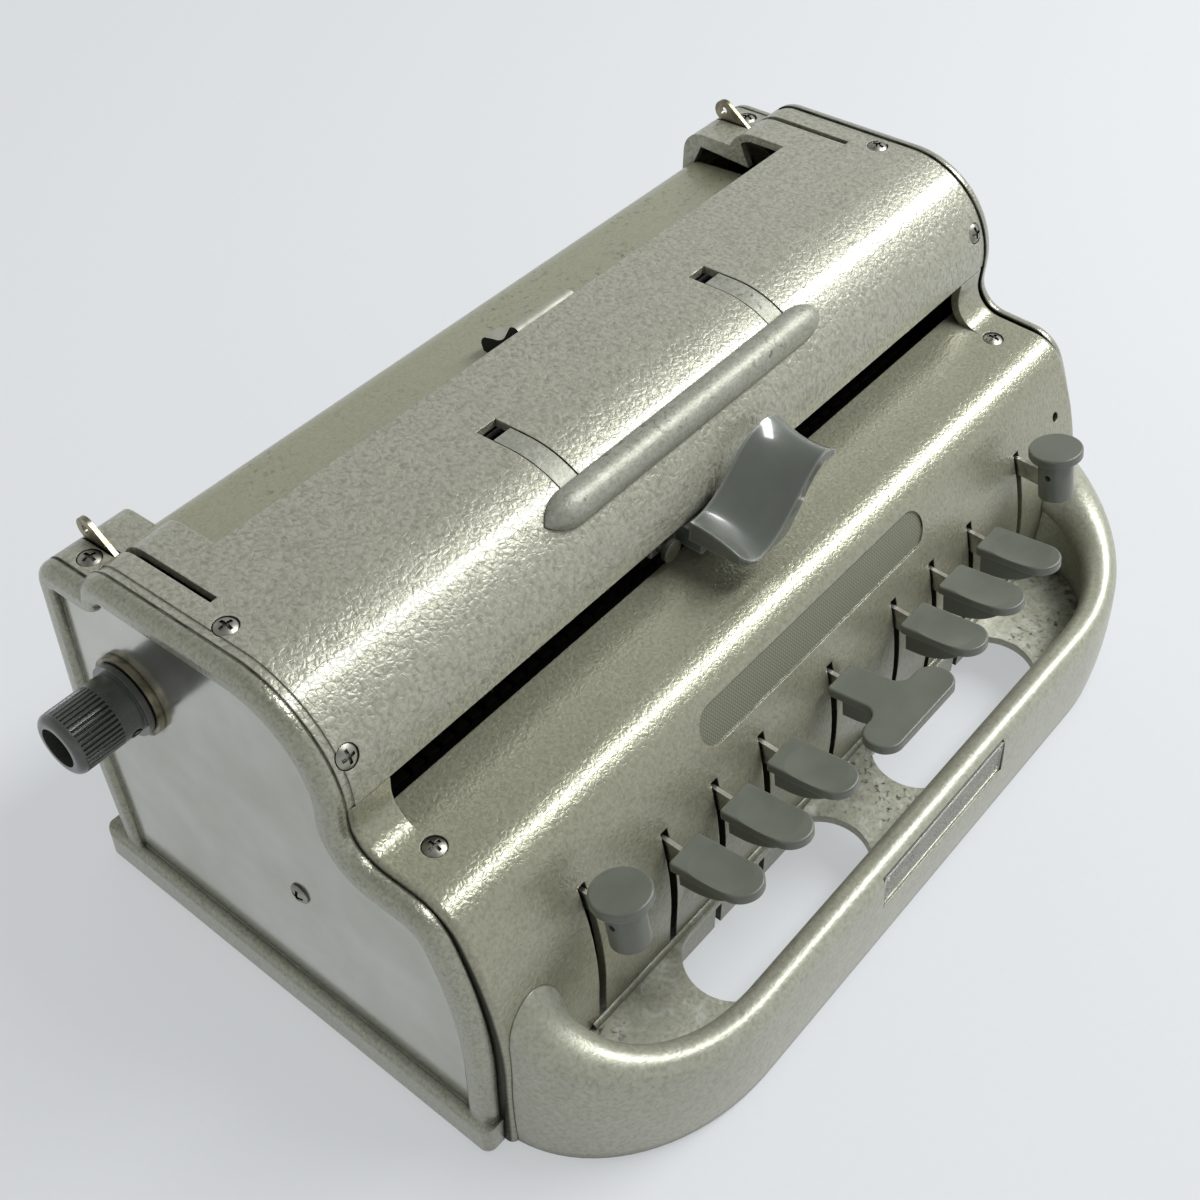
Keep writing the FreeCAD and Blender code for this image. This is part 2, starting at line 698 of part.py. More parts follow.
def end_lugs():
    """Tabs on the inner side of an end plate, one under each screw of the casings."""
    reach = COVER_SCREW_X - LUG_HALF
    top = WALL + SEAM
    inside = COVER_R - top
    half_turn = math.degrees(LUG_HALF / inside)
    rolled = closed(
        (COVER, inside, FRONT_SCREW_ANGLE + half_turn, FRONT_SCREW_ANGLE - half_turn),
        (COVER, inside - LUG_T, FRONT_SCREW_ANGLE - half_turn, FRONT_SCREW_ANGLE + half_turn),
    )
    shelf = box(
        PANEL_SCREW_X - LUG_HALF, PLATE_IN_X, PANEL_SCREW_Y - LUG_HALF, PANEL_SCREW_Y + LUG_HALF,
        SHELF_Z - WALL - LUG_T, SHELF_Z - WALL,
    )
    return (
        along(lug_section(roof_z, ROOF_SCREW_Y), reach, PLATE_IN_X),
        along(lug_section(cap_z, CAP_SCREW_Y), RELEASE_X + RELEASE_SLOT / 2 + FREE, PLATE_IN_X),
        along(rolled, reach, PLATE_IN_X),
        shelf,
    )


def lug_section(height, middle):
    """Side view of a tab that lies a seam below a sloping skin of the given height."""
    near = middle - LUG_HALF
    far = middle + LUG_HALF
    top = WALL + SEAM
    low = top + LUG_T
    return closed(
        (near, height(near, low)), (near, height(near, top)),
        (far, height(far, top)), (far, height(far, low)),
    )


# ---- handle tray ----

def tray_foot(turn, inset=0.0):
    """A point of the tray's corner in plan: angle 0 at the casing, 90 where the front runs straight."""
    t = math.radians(turn)
    return V(
        TRAY_HALF - inset - (TRAY_CORNER_X - inset) * (1 - math.cos(t)),
        TRAY_FRONT_Y + inset + (TRAY_CORNER_Y - inset) * (1 - math.sin(t)),
        0,
    )


def tray_station(turn):
    """One section of the tray wall at a corner angle."""
    t = math.radians(turn)
    swell = (1.0 - math.sin(t)) ** 1.3
    foot = tray_foot(turn)
    out = V(math.cos(t) / TRAY_CORNER_X, -math.sin(t) / TRAY_CORNER_Y, 0).normalize()
    radius = LIP_R + (ROOT_R - LIP_R) * swell
    centre_z = LIP_CENTRE_Z + (ROOT_CENTRE_Z - LIP_CENTRE_Z) * swell
    inset = radius + LIP_INSET - TRAY_SWELL
    wall = TRAY_WALL + (ROOT_WALL - TRAY_WALL) * swell

    def at(depth, z):
        return foot - out * depth + V(0, 0, z)

    def on_lip(angle):
        a = math.radians(angle)
        return at(inset - radius * math.cos(a), centre_z + radius * math.sin(a))

    bottom_out = at(0.0, BASE_Z)
    middle = at(-TRAY_SWELL, (BASE_Z + centre_z) / 2)
    bottom_in = at(wall, BASE_Z)
    edges = [
        Part.Arc(bottom_out, middle, on_lip(0.0)).toShape(),
        Part.Arc(on_lip(0.0), on_lip(100.0), on_lip(200.0)).toShape(),
        Part.LineSegment(on_lip(200.0), bottom_in).toShape(),
        Part.LineSegment(bottom_in, bottom_out).toShape(),
    ]
    return Part.Wire(edges)


def tray_floor():
    """Flat floor of the tray, a little inside its wall."""
    outline = [tray_foot(turn, FLOOR_INSET) for turn in range(0, 91, 10)]
    curve = Part.BSplineCurve()
    curve.interpolate(outline)
    side = curve.toShape()
    start = outline[0]
    front = outline[-1]
    rear_y = PANEL_Y + 2 * PANEL_RETURN
    points = [start, V(start.x, rear_y, 0), V(-start.x, rear_y, 0), V(-start.x, start.y, 0)]
    lines = [Part.LineSegment(a, b).toShape() for a, b in zip(points, points[1:])]
    lines.append(Part.LineSegment(front, V(-front.x, front.y, 0)).toShape())
    plan = Part.Wire(Part.__sortEdges__([side, mirrored(side), *lines]))
    floor = Part.Face(plan).extrude(V(0, 0, WALL))
    floor.translate(V(0, 0, TRAY_FLOOR_Z - WALL))
    return floor


def handle_tray():
    """Tray casting: floor with two hand windows and a rolled lip that swells into the casing."""
    stations = [tray_station(turn) for turn in (0, 9, 20, 33, 47, 61, 76, 90)]
    corner = Part.makeLoft(stations, True, False)
    front_x = TRAY_HALF - TRAY_CORNER_X
    straight = Part.Face(stations[-1]).extrude(V(-2 * front_x, 0, 0))
    root = Part.Face(stations[0]).extrude(V(0, ROOT_L, 0))
    bead_half = TRAY_HALF - ROOT_WALL
    bead = rod(TRAY_BEAD_R, -bead_half, bead_half, PANEL_Y, TRAY_FLOOR_Z)
    tray = fuse(straight, corner, mirrored(corner), root, mirrored(root), tray_floor(), bead)
    window = slot(
        WINDOW_IN_X, WINDOW_OUT_X, WINDOW_FRONT_Y, WINDOW_REAR_Y,
        TRAY_FLOOR_Z - 2 * WALL, TRAY_FLOOR_Z + 2 * WALL, WINDOW_R,
    )
    casing = closed(
        *PANEL_PATH, (SHELF_REAR_Y, SHELF_Z), (SHELF_REAR_Y, BASE_Z - 1.0),
        (PANEL_Y - FACE_FLARE, BASE_Z - 1.0),
    )
    casing = along(casing.makeOffset2D(RUN), -THROUGH, THROUGH)
    return cut(tray, window, mirrored(window), casing, plate_pocket())


def plate_pocket():
    """Pocket of the data plate, its floor leaning back like the plate."""
    rise = PLATE_H + FREE
    lean = rise * math.tan(math.radians(PLATE_LEAN))
    front_y = TRAY_FRONT_Y - 5.0
    section = closed(
        (front_y, PLATE_Z - FREE), (PLATE_FLOOR_Y, PLATE_Z - FREE), (PLATE_FLOOR_Y, PLATE_Z),
        (PLATE_FLOOR_Y + lean, PLATE_Z + rise), (front_y, PLATE_Z + rise),
    )
    return along(section, -PLATE_HALF - FREE, PLATE_HALF + FREE)


def data_plate():
    """Bare plate with a raised border, lying in the pocket of the lip."""
    inner = PLATE_HALF - PLATE_BORDER
    plate = slot(-PLATE_HALF, PLATE_HALF, 0.0, PLATE_H, 0.0, PLATE_T, PLATE_BORDER + 0.2)
    field = slot(-inner, inner, PLATE_BORDER, PLATE_H - PLATE_BORDER, PLATE_T - PLATE_SUNK, 2.0, PLATE_BORDER)
    plate = plate.cut(field)
    plate.rotate(V(0, 0, 0), V(1, 0, 0), 90.0 - PLATE_LEAN)
    plate.translate(V(0, PLATE_FLOOR_Y, PLATE_Z))
    return plate


# ---- base and inner frames ----

def base_plate():
    """Bottom plate inside the casing, with a turned-up edge on three sides."""
    inside_y = PANEL_Y + PANEL_RETURN + 1.0
    rear_y = REAR_Y - DECK_SET - WALL - 11.0
    bottom = BASE_Z + 1.0
    edge = bottom + 7.0
    sheet = 2.0
    half = CASING_HALF - 0.5
    return fuse(
        box(-half, half, inside_y, rear_y, bottom, bottom + sheet),
        box(-half, -half + sheet, inside_y, rear_y, bottom, edge),
        box(half - sheet, half, inside_y, rear_y, bottom, edge),
        box(-half, half, rear_y - sheet, rear_y, bottom, edge),
    )


def rubber_feet():
    feet = []
    for x in (-FOOT_X, FOOT_X):
        for y in FOOT_Y:
            foot = post(FOOT_R, 0.0, BASE_Z + 1.0, x, y)
            feet.append(foot.makeChamfer(0.6, [foot.Edges[2]]))
    return Part.makeCompound(feet)


def side_frame():
    """Right inner frame: a plate that carries the shafts, rails and the release lever."""
    sole = BASE_Z + 3.0
    rear_y = REAR_Y - DECK_SET - WALL - 2.5
    profile = closed(
        (FRAME_FRONT_Y, sole), (FRAME_FRONT_Y, 60.0),
        (SHELF_REAR_Y - 4.5, SHELF_Z - 17.5), (SHELF_REAR_Y + 3.5, SHELF_Z + 4.5),
        (COVER, COVER_R - WALL - 4.0, 155.0, 95.0),
        (62.0, roof_z(62.0, WALL + 4.0)), (DECK_FRONT_Y + 0.5, DECK_FRONT_Z - 5.6),
        (rear_y - 4.5, DECK_FRONT_Z - 10.6), (rear_y, DECK_FRONT_Z - 17.6),
        (rear_y, REAR_BEND_Z + 4.0), (FRAME_REAR_Y, 30.0), (FRAME_REAR_Y, sole),
    )
    outer = FRAME_HALF + FRAME_T
    frame = along(profile, FRAME_HALF, outer)
    foot = box(FRAME_HALF - 10.0, outer, FRAME_FRONT_Y, FRAME_REAR_Y, sole, sole + SHEET)
    pin = rod(RELEASE_PIN_R, outer, RELEASE_X + RELEASE_T / 2 + 1.5, RELEASE_Y, RELEASE_Z)
    boss = rod(RELEASE_PIN_R + 2.0, outer, RELEASE_X - RELEASE_T / 2 - FREE, RELEASE_Y, RELEASE_Z)
    return cut(
        fuse(frame, foot, pin, boss),
        bore(BUSH_R, DRUM_Y, DRUM_Z),
        bore(FRONT_RAIL_R, FRONT_RAIL_Y, FRONT_RAIL_Z),
        bore(REAR_RAIL_R, REAR_RAIL_Y, REAR_RAIL_Z),
        bore(KEY_SHAFT_R, KEY_SHAFT_Y, KEY_SHAFT_Z),
        bore(FRAME_HOLE_R, FRAME_HOLE_Y, FRAME_HOLE_Z),
    )


def left_side_frame():
    """Left inner frame, with the pin of the line space pawl."""
    pin = rod(PAWL_PIN_R, -FRAME_HALF, -FRAME_HALF + RATCHET_T + 1.2, PAWL_Y, DRUM_Z)
    return fuse(mirrored(side_frame()), pin)


def rail(radius, y, z):
    return rod(radius, -FRAME_HALF - FRAME_T, FRAME_HALF + FRAME_T, y, z)


def drum_bushing():
    """Right flanged bushing of the drum shaft."""
    outer = FRAME_HALF + FRAME_T
    body = rod(BUSH_R, FRAME_HALF, outer + BUSH_LIP, DRUM_Y, DRUM_Z)
    flange = rod(BUSH_R + 2.5, outer, outer + BUSH_LIP, DRUM_Y, DRUM_Z)
    return cut(fuse(body, flange), bore(SHAFT_R + RUN, DRUM_Y, DRUM_Z))


def toothed_bar(y0, y1, z0, z1, tooth):
    """A bar between the side frames with a row of teeth on its upper edge, one per cell."""
    bar = box(-FRAME_HALF, FRAME_HALF, y0, y1, z0, z1)
    count = int((FRAME_HALF - 12.0) / CELL_PITCH)
    gaps = []
    for i in range(-count, count + 1):
        x = i * CELL_PITCH
        points = [V(x, y0, z1 - tooth), V(x, y0, z1 + 1.0), V(x + tooth, y0, z1 + 1.0), V(x, y0, z1 - tooth)]
        gaps.append(Part.Face(Part.makePolygon(points)).extrude(V(0, y1 - y0, 0)))
    return bar.cut(Part.makeCompound(gaps))


def bell():
    """Gong of the end-of-line bell, pressed in three cones, and the stud it hangs on."""
    rim_x = FRAME_HALF - 21.0
    steps = ((0.0, BELL_R), (6.0, BELL_R - 1.0), (12.0, BELL_R - 5.5), (16.0, STUD_R))
    outer = [V(rim_x + x, BELL_Y + r, BELL_Z) for x, r in steps]
    inner = [V(rim_x + x - BELL_WALL, BELL_Y + max(r - BELL_WALL, STUD_R), BELL_Z) for x, r in steps]
    inner[0].x = rim_x
    profile = [*outer, *reversed(inner), outer[0]]
    gong = Part.Face(Part.makePolygon(profile)).revolve(V(0, BELL_Y, BELL_Z), V(1, 0, 0), 360)
    stud = rod(STUD_R, rim_x + 12.0, FRAME_HALF, BELL_Y, BELL_Z)
    collar = rod(2 * STUD_R, rim_x + 16.0, FRAME_HALF, BELL_Y, BELL_Z)
    return Part.makeCompound([gong, fuse(stud, collar)])


def mainspring_drum():
    """Barrel of the spring that draws the carriage, with its two flanges."""
    far = SPRING_Y + SPRING_W
    body = pin_y(SPRING_R - 1.5, SPRING_Y, far, SPRING_X, SPRING_Z)
    near_flange = pin_y(SPRING_R, SPRING_Y, SPRING_Y + SPRING_FLANGE, SPRING_X, SPRING_Z)
    far_flange = pin_y(SPRING_R, far - SPRING_FLANGE, far, SPRING_X, SPRING_Z)
    hole = pin_y(ARBOR_R, SPRING_Y - 1.0, far + 1.0, SPRING_X, SPRING_Z)
    return cut(fuse(body, near_flange, far_flange), hole)


def mainspring_bracket():
    """Bracket on the base plate with the arbor of the spring barrel."""
    y0 = SPRING_Y + SPRING_W
    floor = BASE_Z + 3.0
    half = 10.0
    plate = box(SPRING_X - half, SPRING_X + half, y0, y0 + SHEET, floor, SPRING_Z)
    head = pin_y(half, y0, y0 + SHEET, SPRING_X, SPRING_Z)
    foot = box(SPRING_X - half, SPRING_X + half, y0, y0 + 14.0, floor, floor + SHEET)
    arbor = pin_y(ARBOR_R, SPRING_Y - 1.5, y0, SPRING_X, SPRING_Z)
    return fuse(plate, head, foot, arbor)


# ---- paper drum and knobs ----

def paper_drum():
    """Hollow drum with a disc at each end."""
    return cut(
        rod(DRUM_R, -DRUM_HALF, DRUM_HALF, DRUM_Y, DRUM_Z),
        rod(DRUM_R - DRUM_WALL, -DRUM_HALF + WALL, DRUM_HALF - WALL, DRUM_Y, DRUM_Z),
        bore(SHAFT_R, DRUM_Y, DRUM_Z),
    )


def drum_shaft():
    end = PLATE_OUT_X + SHAFT_OUT
    return rod(SHAFT_R, -end, end, DRUM_Y, DRUM_Z)


def ratchet_wheel():
    """Line feed ratchet beside the left end of the drum."""
    axis = (DRUM_Y, DRUM_Z)
    turn = 360.0 / RATCHET_TEETH
    points = []
    for i in range(RATCHET_TEETH):
        points.append(polar(axis, RATCHET_R, i * turn))
        points.append(polar(axis, RATCHET_R - RATCHET_TOOTH, (i + 0.15) * turn))
    wheel = along(closed(*points), -RATCHET_X, -RATCHET_X + RATCHET_T)
    hub = rod(BUSH_R - 1.0, -RATCHET_X, -DRUM_HALF, *axis)
    return cut(fuse(wheel, hub), bore(SHAFT_R, *axis))


def line_space_pawl():
    """Balanced pawl that feeds the ratchet one line for each stroke of the line space key."""
    tip_y = DRUM_Y - RATCHET_R - 1.0
    arm = closed(
        (PAWL_Y - PAWL_TAIL, DRUM_Z + PAWL_R), (PAWL_Y, DRUM_Z + PAWL_R), (tip_y - 3.0, DRUM_Z + 2.5),
        (tip_y, DRUM_Z), (tip_y - 3.0, DRUM_Z - 2.0), (PAWL_Y, DRUM_Z - PAWL_R),
        (PAWL_Y - PAWL_TAIL, DRUM_Z - PAWL_R),
    )
    return cut(along(arm, -RATCHET_X, -RATCHET_X + RATCHET_T), bore(PAWL_PIN_R + RUN, PAWL_Y, DRUM_Z))


def knob():
    """Right drum knob: flange, smooth collar, ribbed grip and a rounded hollow nose."""
    start = PLATE_OUT_X + FREE
    collar = start + KNOB_FLANGE_T
    grip = collar + KNOB_COLLAR
    nose = KNOB_TIP_X - KNOB_NOSE_R
    floor = PLATE_OUT_X + SHAFT_OUT

    def at(x, radius):
        return V(x, DRUM_Y + radius, DRUM_Z)

    front = [at(start, SHAFT_R), at(start, KNOB_FLANGE_R), at(collar, KNOB_FLANGE_R), at(collar, KNOB_R),
             at(nose, KNOB_R)]
    back = [at(KNOB_TIP_X, KNOB_R - KNOB_NOSE_R), at(KNOB_TIP_X, KNOB_BORE_R), at(floor, KNOB_BORE_R),
            at(floor, SHAFT_R), front[0]]
    slack = KNOB_NOSE_R * (1 - math.sqrt(0.5))
    edges = [Part.Arc(front[-1], at(KNOB_TIP_X - slack, KNOB_R - slack), back[0]).toShape()]
    for points in (front, back):
        edges += [Part.LineSegment(a, b).toShape() for a, b in zip(points, points[1:])]
    body = Part.Face(Part.Wire(Part.__sortEdges__(edges))).revolve(V(0, DRUM_Y, DRUM_Z), V(1, 0, 0), 360)
    axis = (DRUM_Y, DRUM_Z)
    pitch = 360.0 / KNOB_RIBS
    outside = KNOB_R + KNOB_RIB_H / 2
    grooves = []
    for i in range(KNOB_RIBS):
        corners = [
            polar(axis, KNOB_R - KNOB_RIB_H, (i + 0.5) * pitch),
            polar(axis, outside, (i + 0.1) * pitch),
            polar(axis, outside, (i + 0.9) * pitch),
        ]
        grooves.append(along(closed(*corners), grip, nose))
    return body.cut(Part.makeCompound(grooves))


def knob_washer():
    """Washer behind the right knob, in the sunk face of the end plate."""
    return cut(rod(WASHER_R, PLATE_FACE_X, PLATE_OUT_X, DRUM_Y, DRUM_Z), bore(SHAFT_R + FREE, DRUM_Y, DRUM_Z))


# ---- keys ----

def lever_outline(low, high, front_y):
    """Side view of a key lever: stem through the panel, arm, hub and tail."""
    panel_y = PANEL_Y + PANEL_RETURN
    tail_y = KEY_SHAFT_Y + LEVER_TAIL
    return closed(
        (front_y, low), (front_y, high), (panel_y, high), (panel_y + 24.0, high - 4.0),
        (KEY_SHAFT_Y - 5.0, KEY_SHAFT_Z + 7.0), (KEY_SHAFT_Y + 6.0, KEY_SHAFT_Z + 6.0),
        (tail_y, KEY_SHAFT_Z + 5.0), (tail_y, KEY_SHAFT_Z - 1.0),
        (KEY_SHAFT_Y + 6.0, KEY_SHAFT_Z - 5.0), (KEY_SHAFT_Y - 5.0, KEY_SHAFT_Z - 5.0),
        (panel_y + 22.0, low - 8.0), (panel_y, low),
    )


def lever(x, outline):
    """A steel key lever at x, with its hub on the key shaft."""
    arm = along(outline, x - LEVER_T / 2, x + LEVER_T / 2)
    hub = rod(HUB_R, x - HUB_HALF, x + HUB_HALF, KEY_SHAFT_Y, KEY_SHAFT_Z)
    return cut(fuse(hub, arm), bore(KEY_SHAFT_R + RUN, KEY_SHAFT_Y, KEY_SHAFT_Z))


def dot_lever(x):
    return lever(x, lever_outline(DOT_STEM_LOW, DOT_STEM_HIGH, CAP_REAR_Y - CAP_STEM))


def round_lever(x):
    return lever(x, lever_outline(ROUND_STEM_LOW, ROUND_STEM_HIGH, ROUND_CAP_Y - ROUND_POST_R))


def cap_web(x):
    """Rib under a cap, deep at the rear and running out towards the front."""
    low = CAP_TOP_Z - CAP_RIM
    foot_y = CAP_REAR_Y - 4.0
    front_y = CAP_REAR_Y - CAP_L + 11.0
    profile = closed(
        (CAP_REAR_Y, low + 0.5), (CAP_REAR_Y, low - CAP_WEB),
        ((foot_y, low - CAP_WEB + CAP_WEB_R), CAP_WEB_R, -90.0, -140.0), (front_y, low), (front_y, low + 0.5),
    )
    return along(profile, x - CAP_WEB_W / 2, x + CAP_WEB_W / 2)


def soften(shape, radius, z):
    """Round the edges that lie in the plane at z."""
    return shape.makeFillet(radius, edges_where(shape, lambda e: e.BoundBox.ZMin > z - 0.01))


def tilted(shape, y, z, angle):
    """A cap turned about the line at y and z so that its front rises."""
    shape.rotate(V(0, y, z), V(1, 0, 0), -angle)
    return shape


def dot_cap(x):
    """Cap of a dot key: a dished pad with a round front on a tapered web."""
    half = CAP_W / 2
    low = CAP_TOP_Z - CAP_RIM
    front_y = CAP_REAR_Y - CAP_L
    pad = slot(x - half, x + half, front_y, CAP_REAR_Y, low, CAP_TOP_Z, CAP_CORNER_R)
    nose = post(half, low, CAP_TOP_Z, x, front_y + half)
    front = box(x - half - 1, x + half + 1, front_y - 1, front_y + half, low - 1, CAP_TOP_Z + 1)
    pad = soften(fuse(pad.cut(front), nose), CAP_SOFT, CAP_TOP_Z)
    dish = Part.makeSphere(CAP_DISH_R, V(x, CAP_REAR_Y - CAP_L / 2, CAP_TOP_Z + CAP_DISH_R - CAP_DISH))
    cap = tilted(fuse(pad.cut(dish), cap_web(x)), CAP_REAR_Y, CAP_TOP_Z, CAP_TILT)
    return cut(cap, dot_lever(x))


def space_cap():
    """Cap of the space key: a T with a wide front bar."""
    half = CAP_W / 2
    low = CAP_TOP_Z - CAP_RIM
    bar_rear = CAP_REAR_Y - SPACE_BAR_REAR
    neck = slot(-half, half, bar_rear - 6.0, CAP_REAR_Y + SPACE_NECK, low, CAP_TOP_Z, CAP_CORNER_R)
    bar = slot(
        -SPACE_BAR_HALF, SPACE_BAR_HALF, CAP_REAR_Y - SPACE_BAR_FRONT, bar_rear,
        low, CAP_TOP_Z, (SPACE_BAR_FRONT - SPACE_BAR_REAR) / 2 - 0.6,
    )
    pad = fuse(neck, bar)
    inner = edges_where(
        pad, lambda e: e.BoundBox.ZLength > 1 and abs(abs(e.BoundBox.Center.x) - half) < 0.1
        and abs(e.BoundBox.Center.y - bar_rear) < 0.1)
    pad = soften(pad.makeFillet(SPACE_ROUND, inner), CAP_SOFT, CAP_TOP_Z)
    cap = tilted(fuse(pad, cap_web(0.0)), CAP_REAR_Y, CAP_TOP_Z, CAP_TILT)
    return cut(cap, dot_lever(0.0))


def round_cap(x):
    """Cap of a round key: a mushroom disc on a cross-drilled post."""
    low = ROUND_CAP_TOP_Z - CAP_RIM
    disc = post(ROUND_CAP_R, low, ROUND_CAP_TOP_Z, x, ROUND_CAP_Y)
    disc = soften(disc, CAP_SOFT, ROUND_CAP_TOP_Z)
    neck = post(ROUND_POST_R, ROUND_CAP_TOP_Z - ROUND_POST_L, low, x, ROUND_CAP_Y)
    cap = cut(fuse(disc, neck), bore(ROUND_HOLE_R, ROUND_CAP_Y, ROUND_CAP_TOP_Z - ROUND_HOLE))
    return cut(tilted(cap, ROUND_CAP_Y, ROUND_CAP_TOP_Z, ROUND_TILT), round_lever(x))


def key_return_springs():
    """One torsion spring on the shaft beside each lever, its fixed leg on the spring bar."""
    springs = []
    for x in (0.0, *DOT_X, ROUND_X, *[-d for d in DOT_X], -ROUND_X):
        end = x + HUB_HALF + COIL_L
        coil = cut(
            rod(COIL_R, x + HUB_HALF + FREE, end, KEY_SHAFT_Y, KEY_SHAFT_Z),
            bore(KEY_SHAFT_R + FREE, KEY_SHAFT_Y, KEY_SHAFT_Z),
        )
        leg = box(end - 1.0, end, KEY_SHAFT_Y, SPRING_BAR_Y + 1.0, SPRING_BAR_TOP_Z, SPRING_BAR_TOP_Z + 1.0)
        springs.append(fuse(coil, leg))
    return Part.makeCompound(springs)


def spring_bar():
    """Bar behind the key shaft that holds the fixed legs of the springs."""
    return box(
        -FRAME_HALF, FRAME_HALF, SPRING_BAR_Y - 2.0, SPRING_BAR_Y + 4.0,
        SPRING_BAR_TOP_Z - 4.0, SPRING_BAR_TOP_Z,
    )


# ---- carriage ----

def carriage_body():
    """Carriage casting: front plate, arm arched over the rails and the rail bosses."""
    bottom = SHELF_Z - WALL
    arch = (COVER[0], LIP_Z)
    top = LIP_Z + CARRIAGE_R
    outer = ((CARRIAGE_PLATE_Y, bottom), (arch, CARRIAGE_R, 180.0, 90.0), (HEAD_FRONT_Y, top - 2.0))
    arm = shell(outer, CARRIAGE_T, CARRIAGE_LEFT, CARRIAGE_RIGHT)
    plate = box(
        PIVOT_X - 2 * PIVOT_R, CARRIAGE_LEFT + 1.0, CARRIAGE_PLATE_Y, CARRIAGE_PLATE_Y + 4.0,
        bottom, LIP_Z - 2.0,
    )
    front_boss = rod(FRONT_RAIL_R + RAIL_BOSS, CARRIAGE_LEFT, CARRIAGE_RIGHT, FRONT_RAIL_Y, FRONT_RAIL_Z)
    rear_boss = rod(REAR_RAIL_R + RAIL_BOSS, CARRIAGE_LEFT, CARRIAGE_RIGHT, REAR_RAIL_Y, REAR_RAIL_Z)
    body = fuse(arm, plate, front_boss, rear_boss)
    keep = box(-THROUGH, THROUGH, CARRIAGE_PLATE_Y, REAR_Y, 0.0, top)
    return cut(
        body.common(keep),
        bore(FRONT_RAIL_R + RUN, FRONT_RAIL_Y, FRONT_RAIL_Z),
        bore(REAR_RAIL_R + RUN, REAR_RAIL_Y, REAR_RAIL_Z),
        pin_y(PIVOT_R, CARRIAGE_PLATE_Y - 1.0, FRONT_RAIL_Y, PIVOT_X, PIVOT_Z),
    )


def embossing_head():
    """Embossing head: a crest behind the cover's edge that sweeps down to a tongue on the deck."""
    low = DRUM_Z + DRUM_R + HEAD_GAP
    deck = DECK_FRONT_Z + HEAD_GAP
    nose_y = DECK_FRONT_Y - 1.0
    crest_y = PAPER_FRONT_Y + 0.5
    top = LIP_Z + CARRIAGE_R - 2.0
    tip = (HEAD_REAR_Y - HEAD_TIP_R, deck + HEAD_TIP_R - 0.2)
    profile = closed(
        (HEAD_FRONT_Y, low + 8.0), (HEAD_FRONT_Y, top), (crest_y, top),
        ((crest_y + HEAD_CREST_R, HEAD_CREST_Z - HEAD_CREST_R), HEAD_CREST_R, 180.0, 20.0),
        ((HEAD_BODY_Y + 0.9, HEAD_SWEEP_Z + HEAD_SWEEP_R), HEAD_SWEEP_R, 205.0, 262.0),
        (tip, HEAD_TIP_R, 80.0, -30.0),
        (HEAD_REAR_Y - 1.0, deck), (nose_y, deck), (nose_y, low), (nose_y - 11.0, low),
    )
    body = slot(
        HEAD_LEFT - 2 * HEAD_ROUND, HEAD_RIGHT, HEAD_FRONT_Y - 2 * HEAD_ROUND, HEAD_BODY_Y,
        low - 1.0, LIP_Z + COVER_R, HEAD_ROUND,
    )
    tongue = along(profile, HEAD_LEFT, HEAD_LEFT + HEAD_TONGUE_W)
    return fuse(along(profile, HEAD_LEFT, HEAD_RIGHT).common(body), tongue)


def carriage_pivot_screw():
    """Shoulder screw on which the carriage lever rocks."""
    head_y = CARRIAGE_PLATE_Y - PIVOT_REACH
    shank = pin_y(PIVOT_R, head_y, CARRIAGE_PLATE_Y + 4.6, PIVOT_X, PIVOT_Z)
    return fuse(shank, pin_y(4.0, head_y - 1.8, head_y, PIVOT_X, PIVOT_Z))


def lever_section(y, top):
    """Section of the carriage lever at y: the top line, and a sole that thins to the right."""
    points = [V(x, y, z) for x, z in top]
    upper = Part.BSplineCurve()
    upper.interpolate(points)
    left, right = points[0], points[-1]
    sole = [p - V(0, 0, drop) for p, drop in zip(reversed(points[3:]), SADDLE_DROPS)]
    sole.append(V(points[2].x, y, SADDLE_SOLE_Z))
    lower = Part.BSplineCurve()
    lower.interpolate(sole)
    heel = V(left.x, y, SADDLE_SOLE_Z)
    edges = [
        upper.toShape(),
        Part.LineSegment(right, sole[0]).toShape(),
        lower.toShape(),
        Part.LineSegment(sole[-1], heel).toShape(),
        Part.LineSegment(heel, left).toShape(),
    ]
    return Part.Wire(edges)


def carriage_lever():
    """Saddle-shaped carriage lever with the arm that reaches through the carriage slot."""
    sections = [
        lever_section(SADDLE_FRONT_Y, SADDLE_FRONT),
        lever_section((SADDLE_REAR_Y + SADDLE_FRONT_Y) / 2, SADDLE_VALLEY),
        lever_section(SADDLE_REAR_Y, SADDLE_REAR),
    ]
    reach = 60.0
    plan = slot(
        SADDLE_REAR[0][0], SADDLE_REAR[0][0] + reach, SADDLE_FRONT_Y, SADDLE_FRONT_Y + reach,
        SHELF_Z, SHELF_Z + reach, SADDLE_CORNER_R,
    )
    saddle = Part.makeLoft(sections, True, False).common(plan)
    arm_rear = CARRIAGE_PLATE_Y - FREE
    low = PIVOT_Z - 2.8
    high = PIVOT_Z + 5.0
    arm = box(PIVOT_X - 2 * PIVOT_R, 2.0, arm_rear - 4.0, arm_rear, low, high)
    neck = box(-16.0, 2.0, SADDLE_REAR_Y - 4.0, arm_rear, low, high)
    hole = pin_y(PIVOT_R + RUN, SADDLE_FRONT_Y, 0.0, PIVOT_X, PIVOT_Z)
    return cut(fuse(saddle, neck, arm), hole)


# ---- reading rest and release levers ----

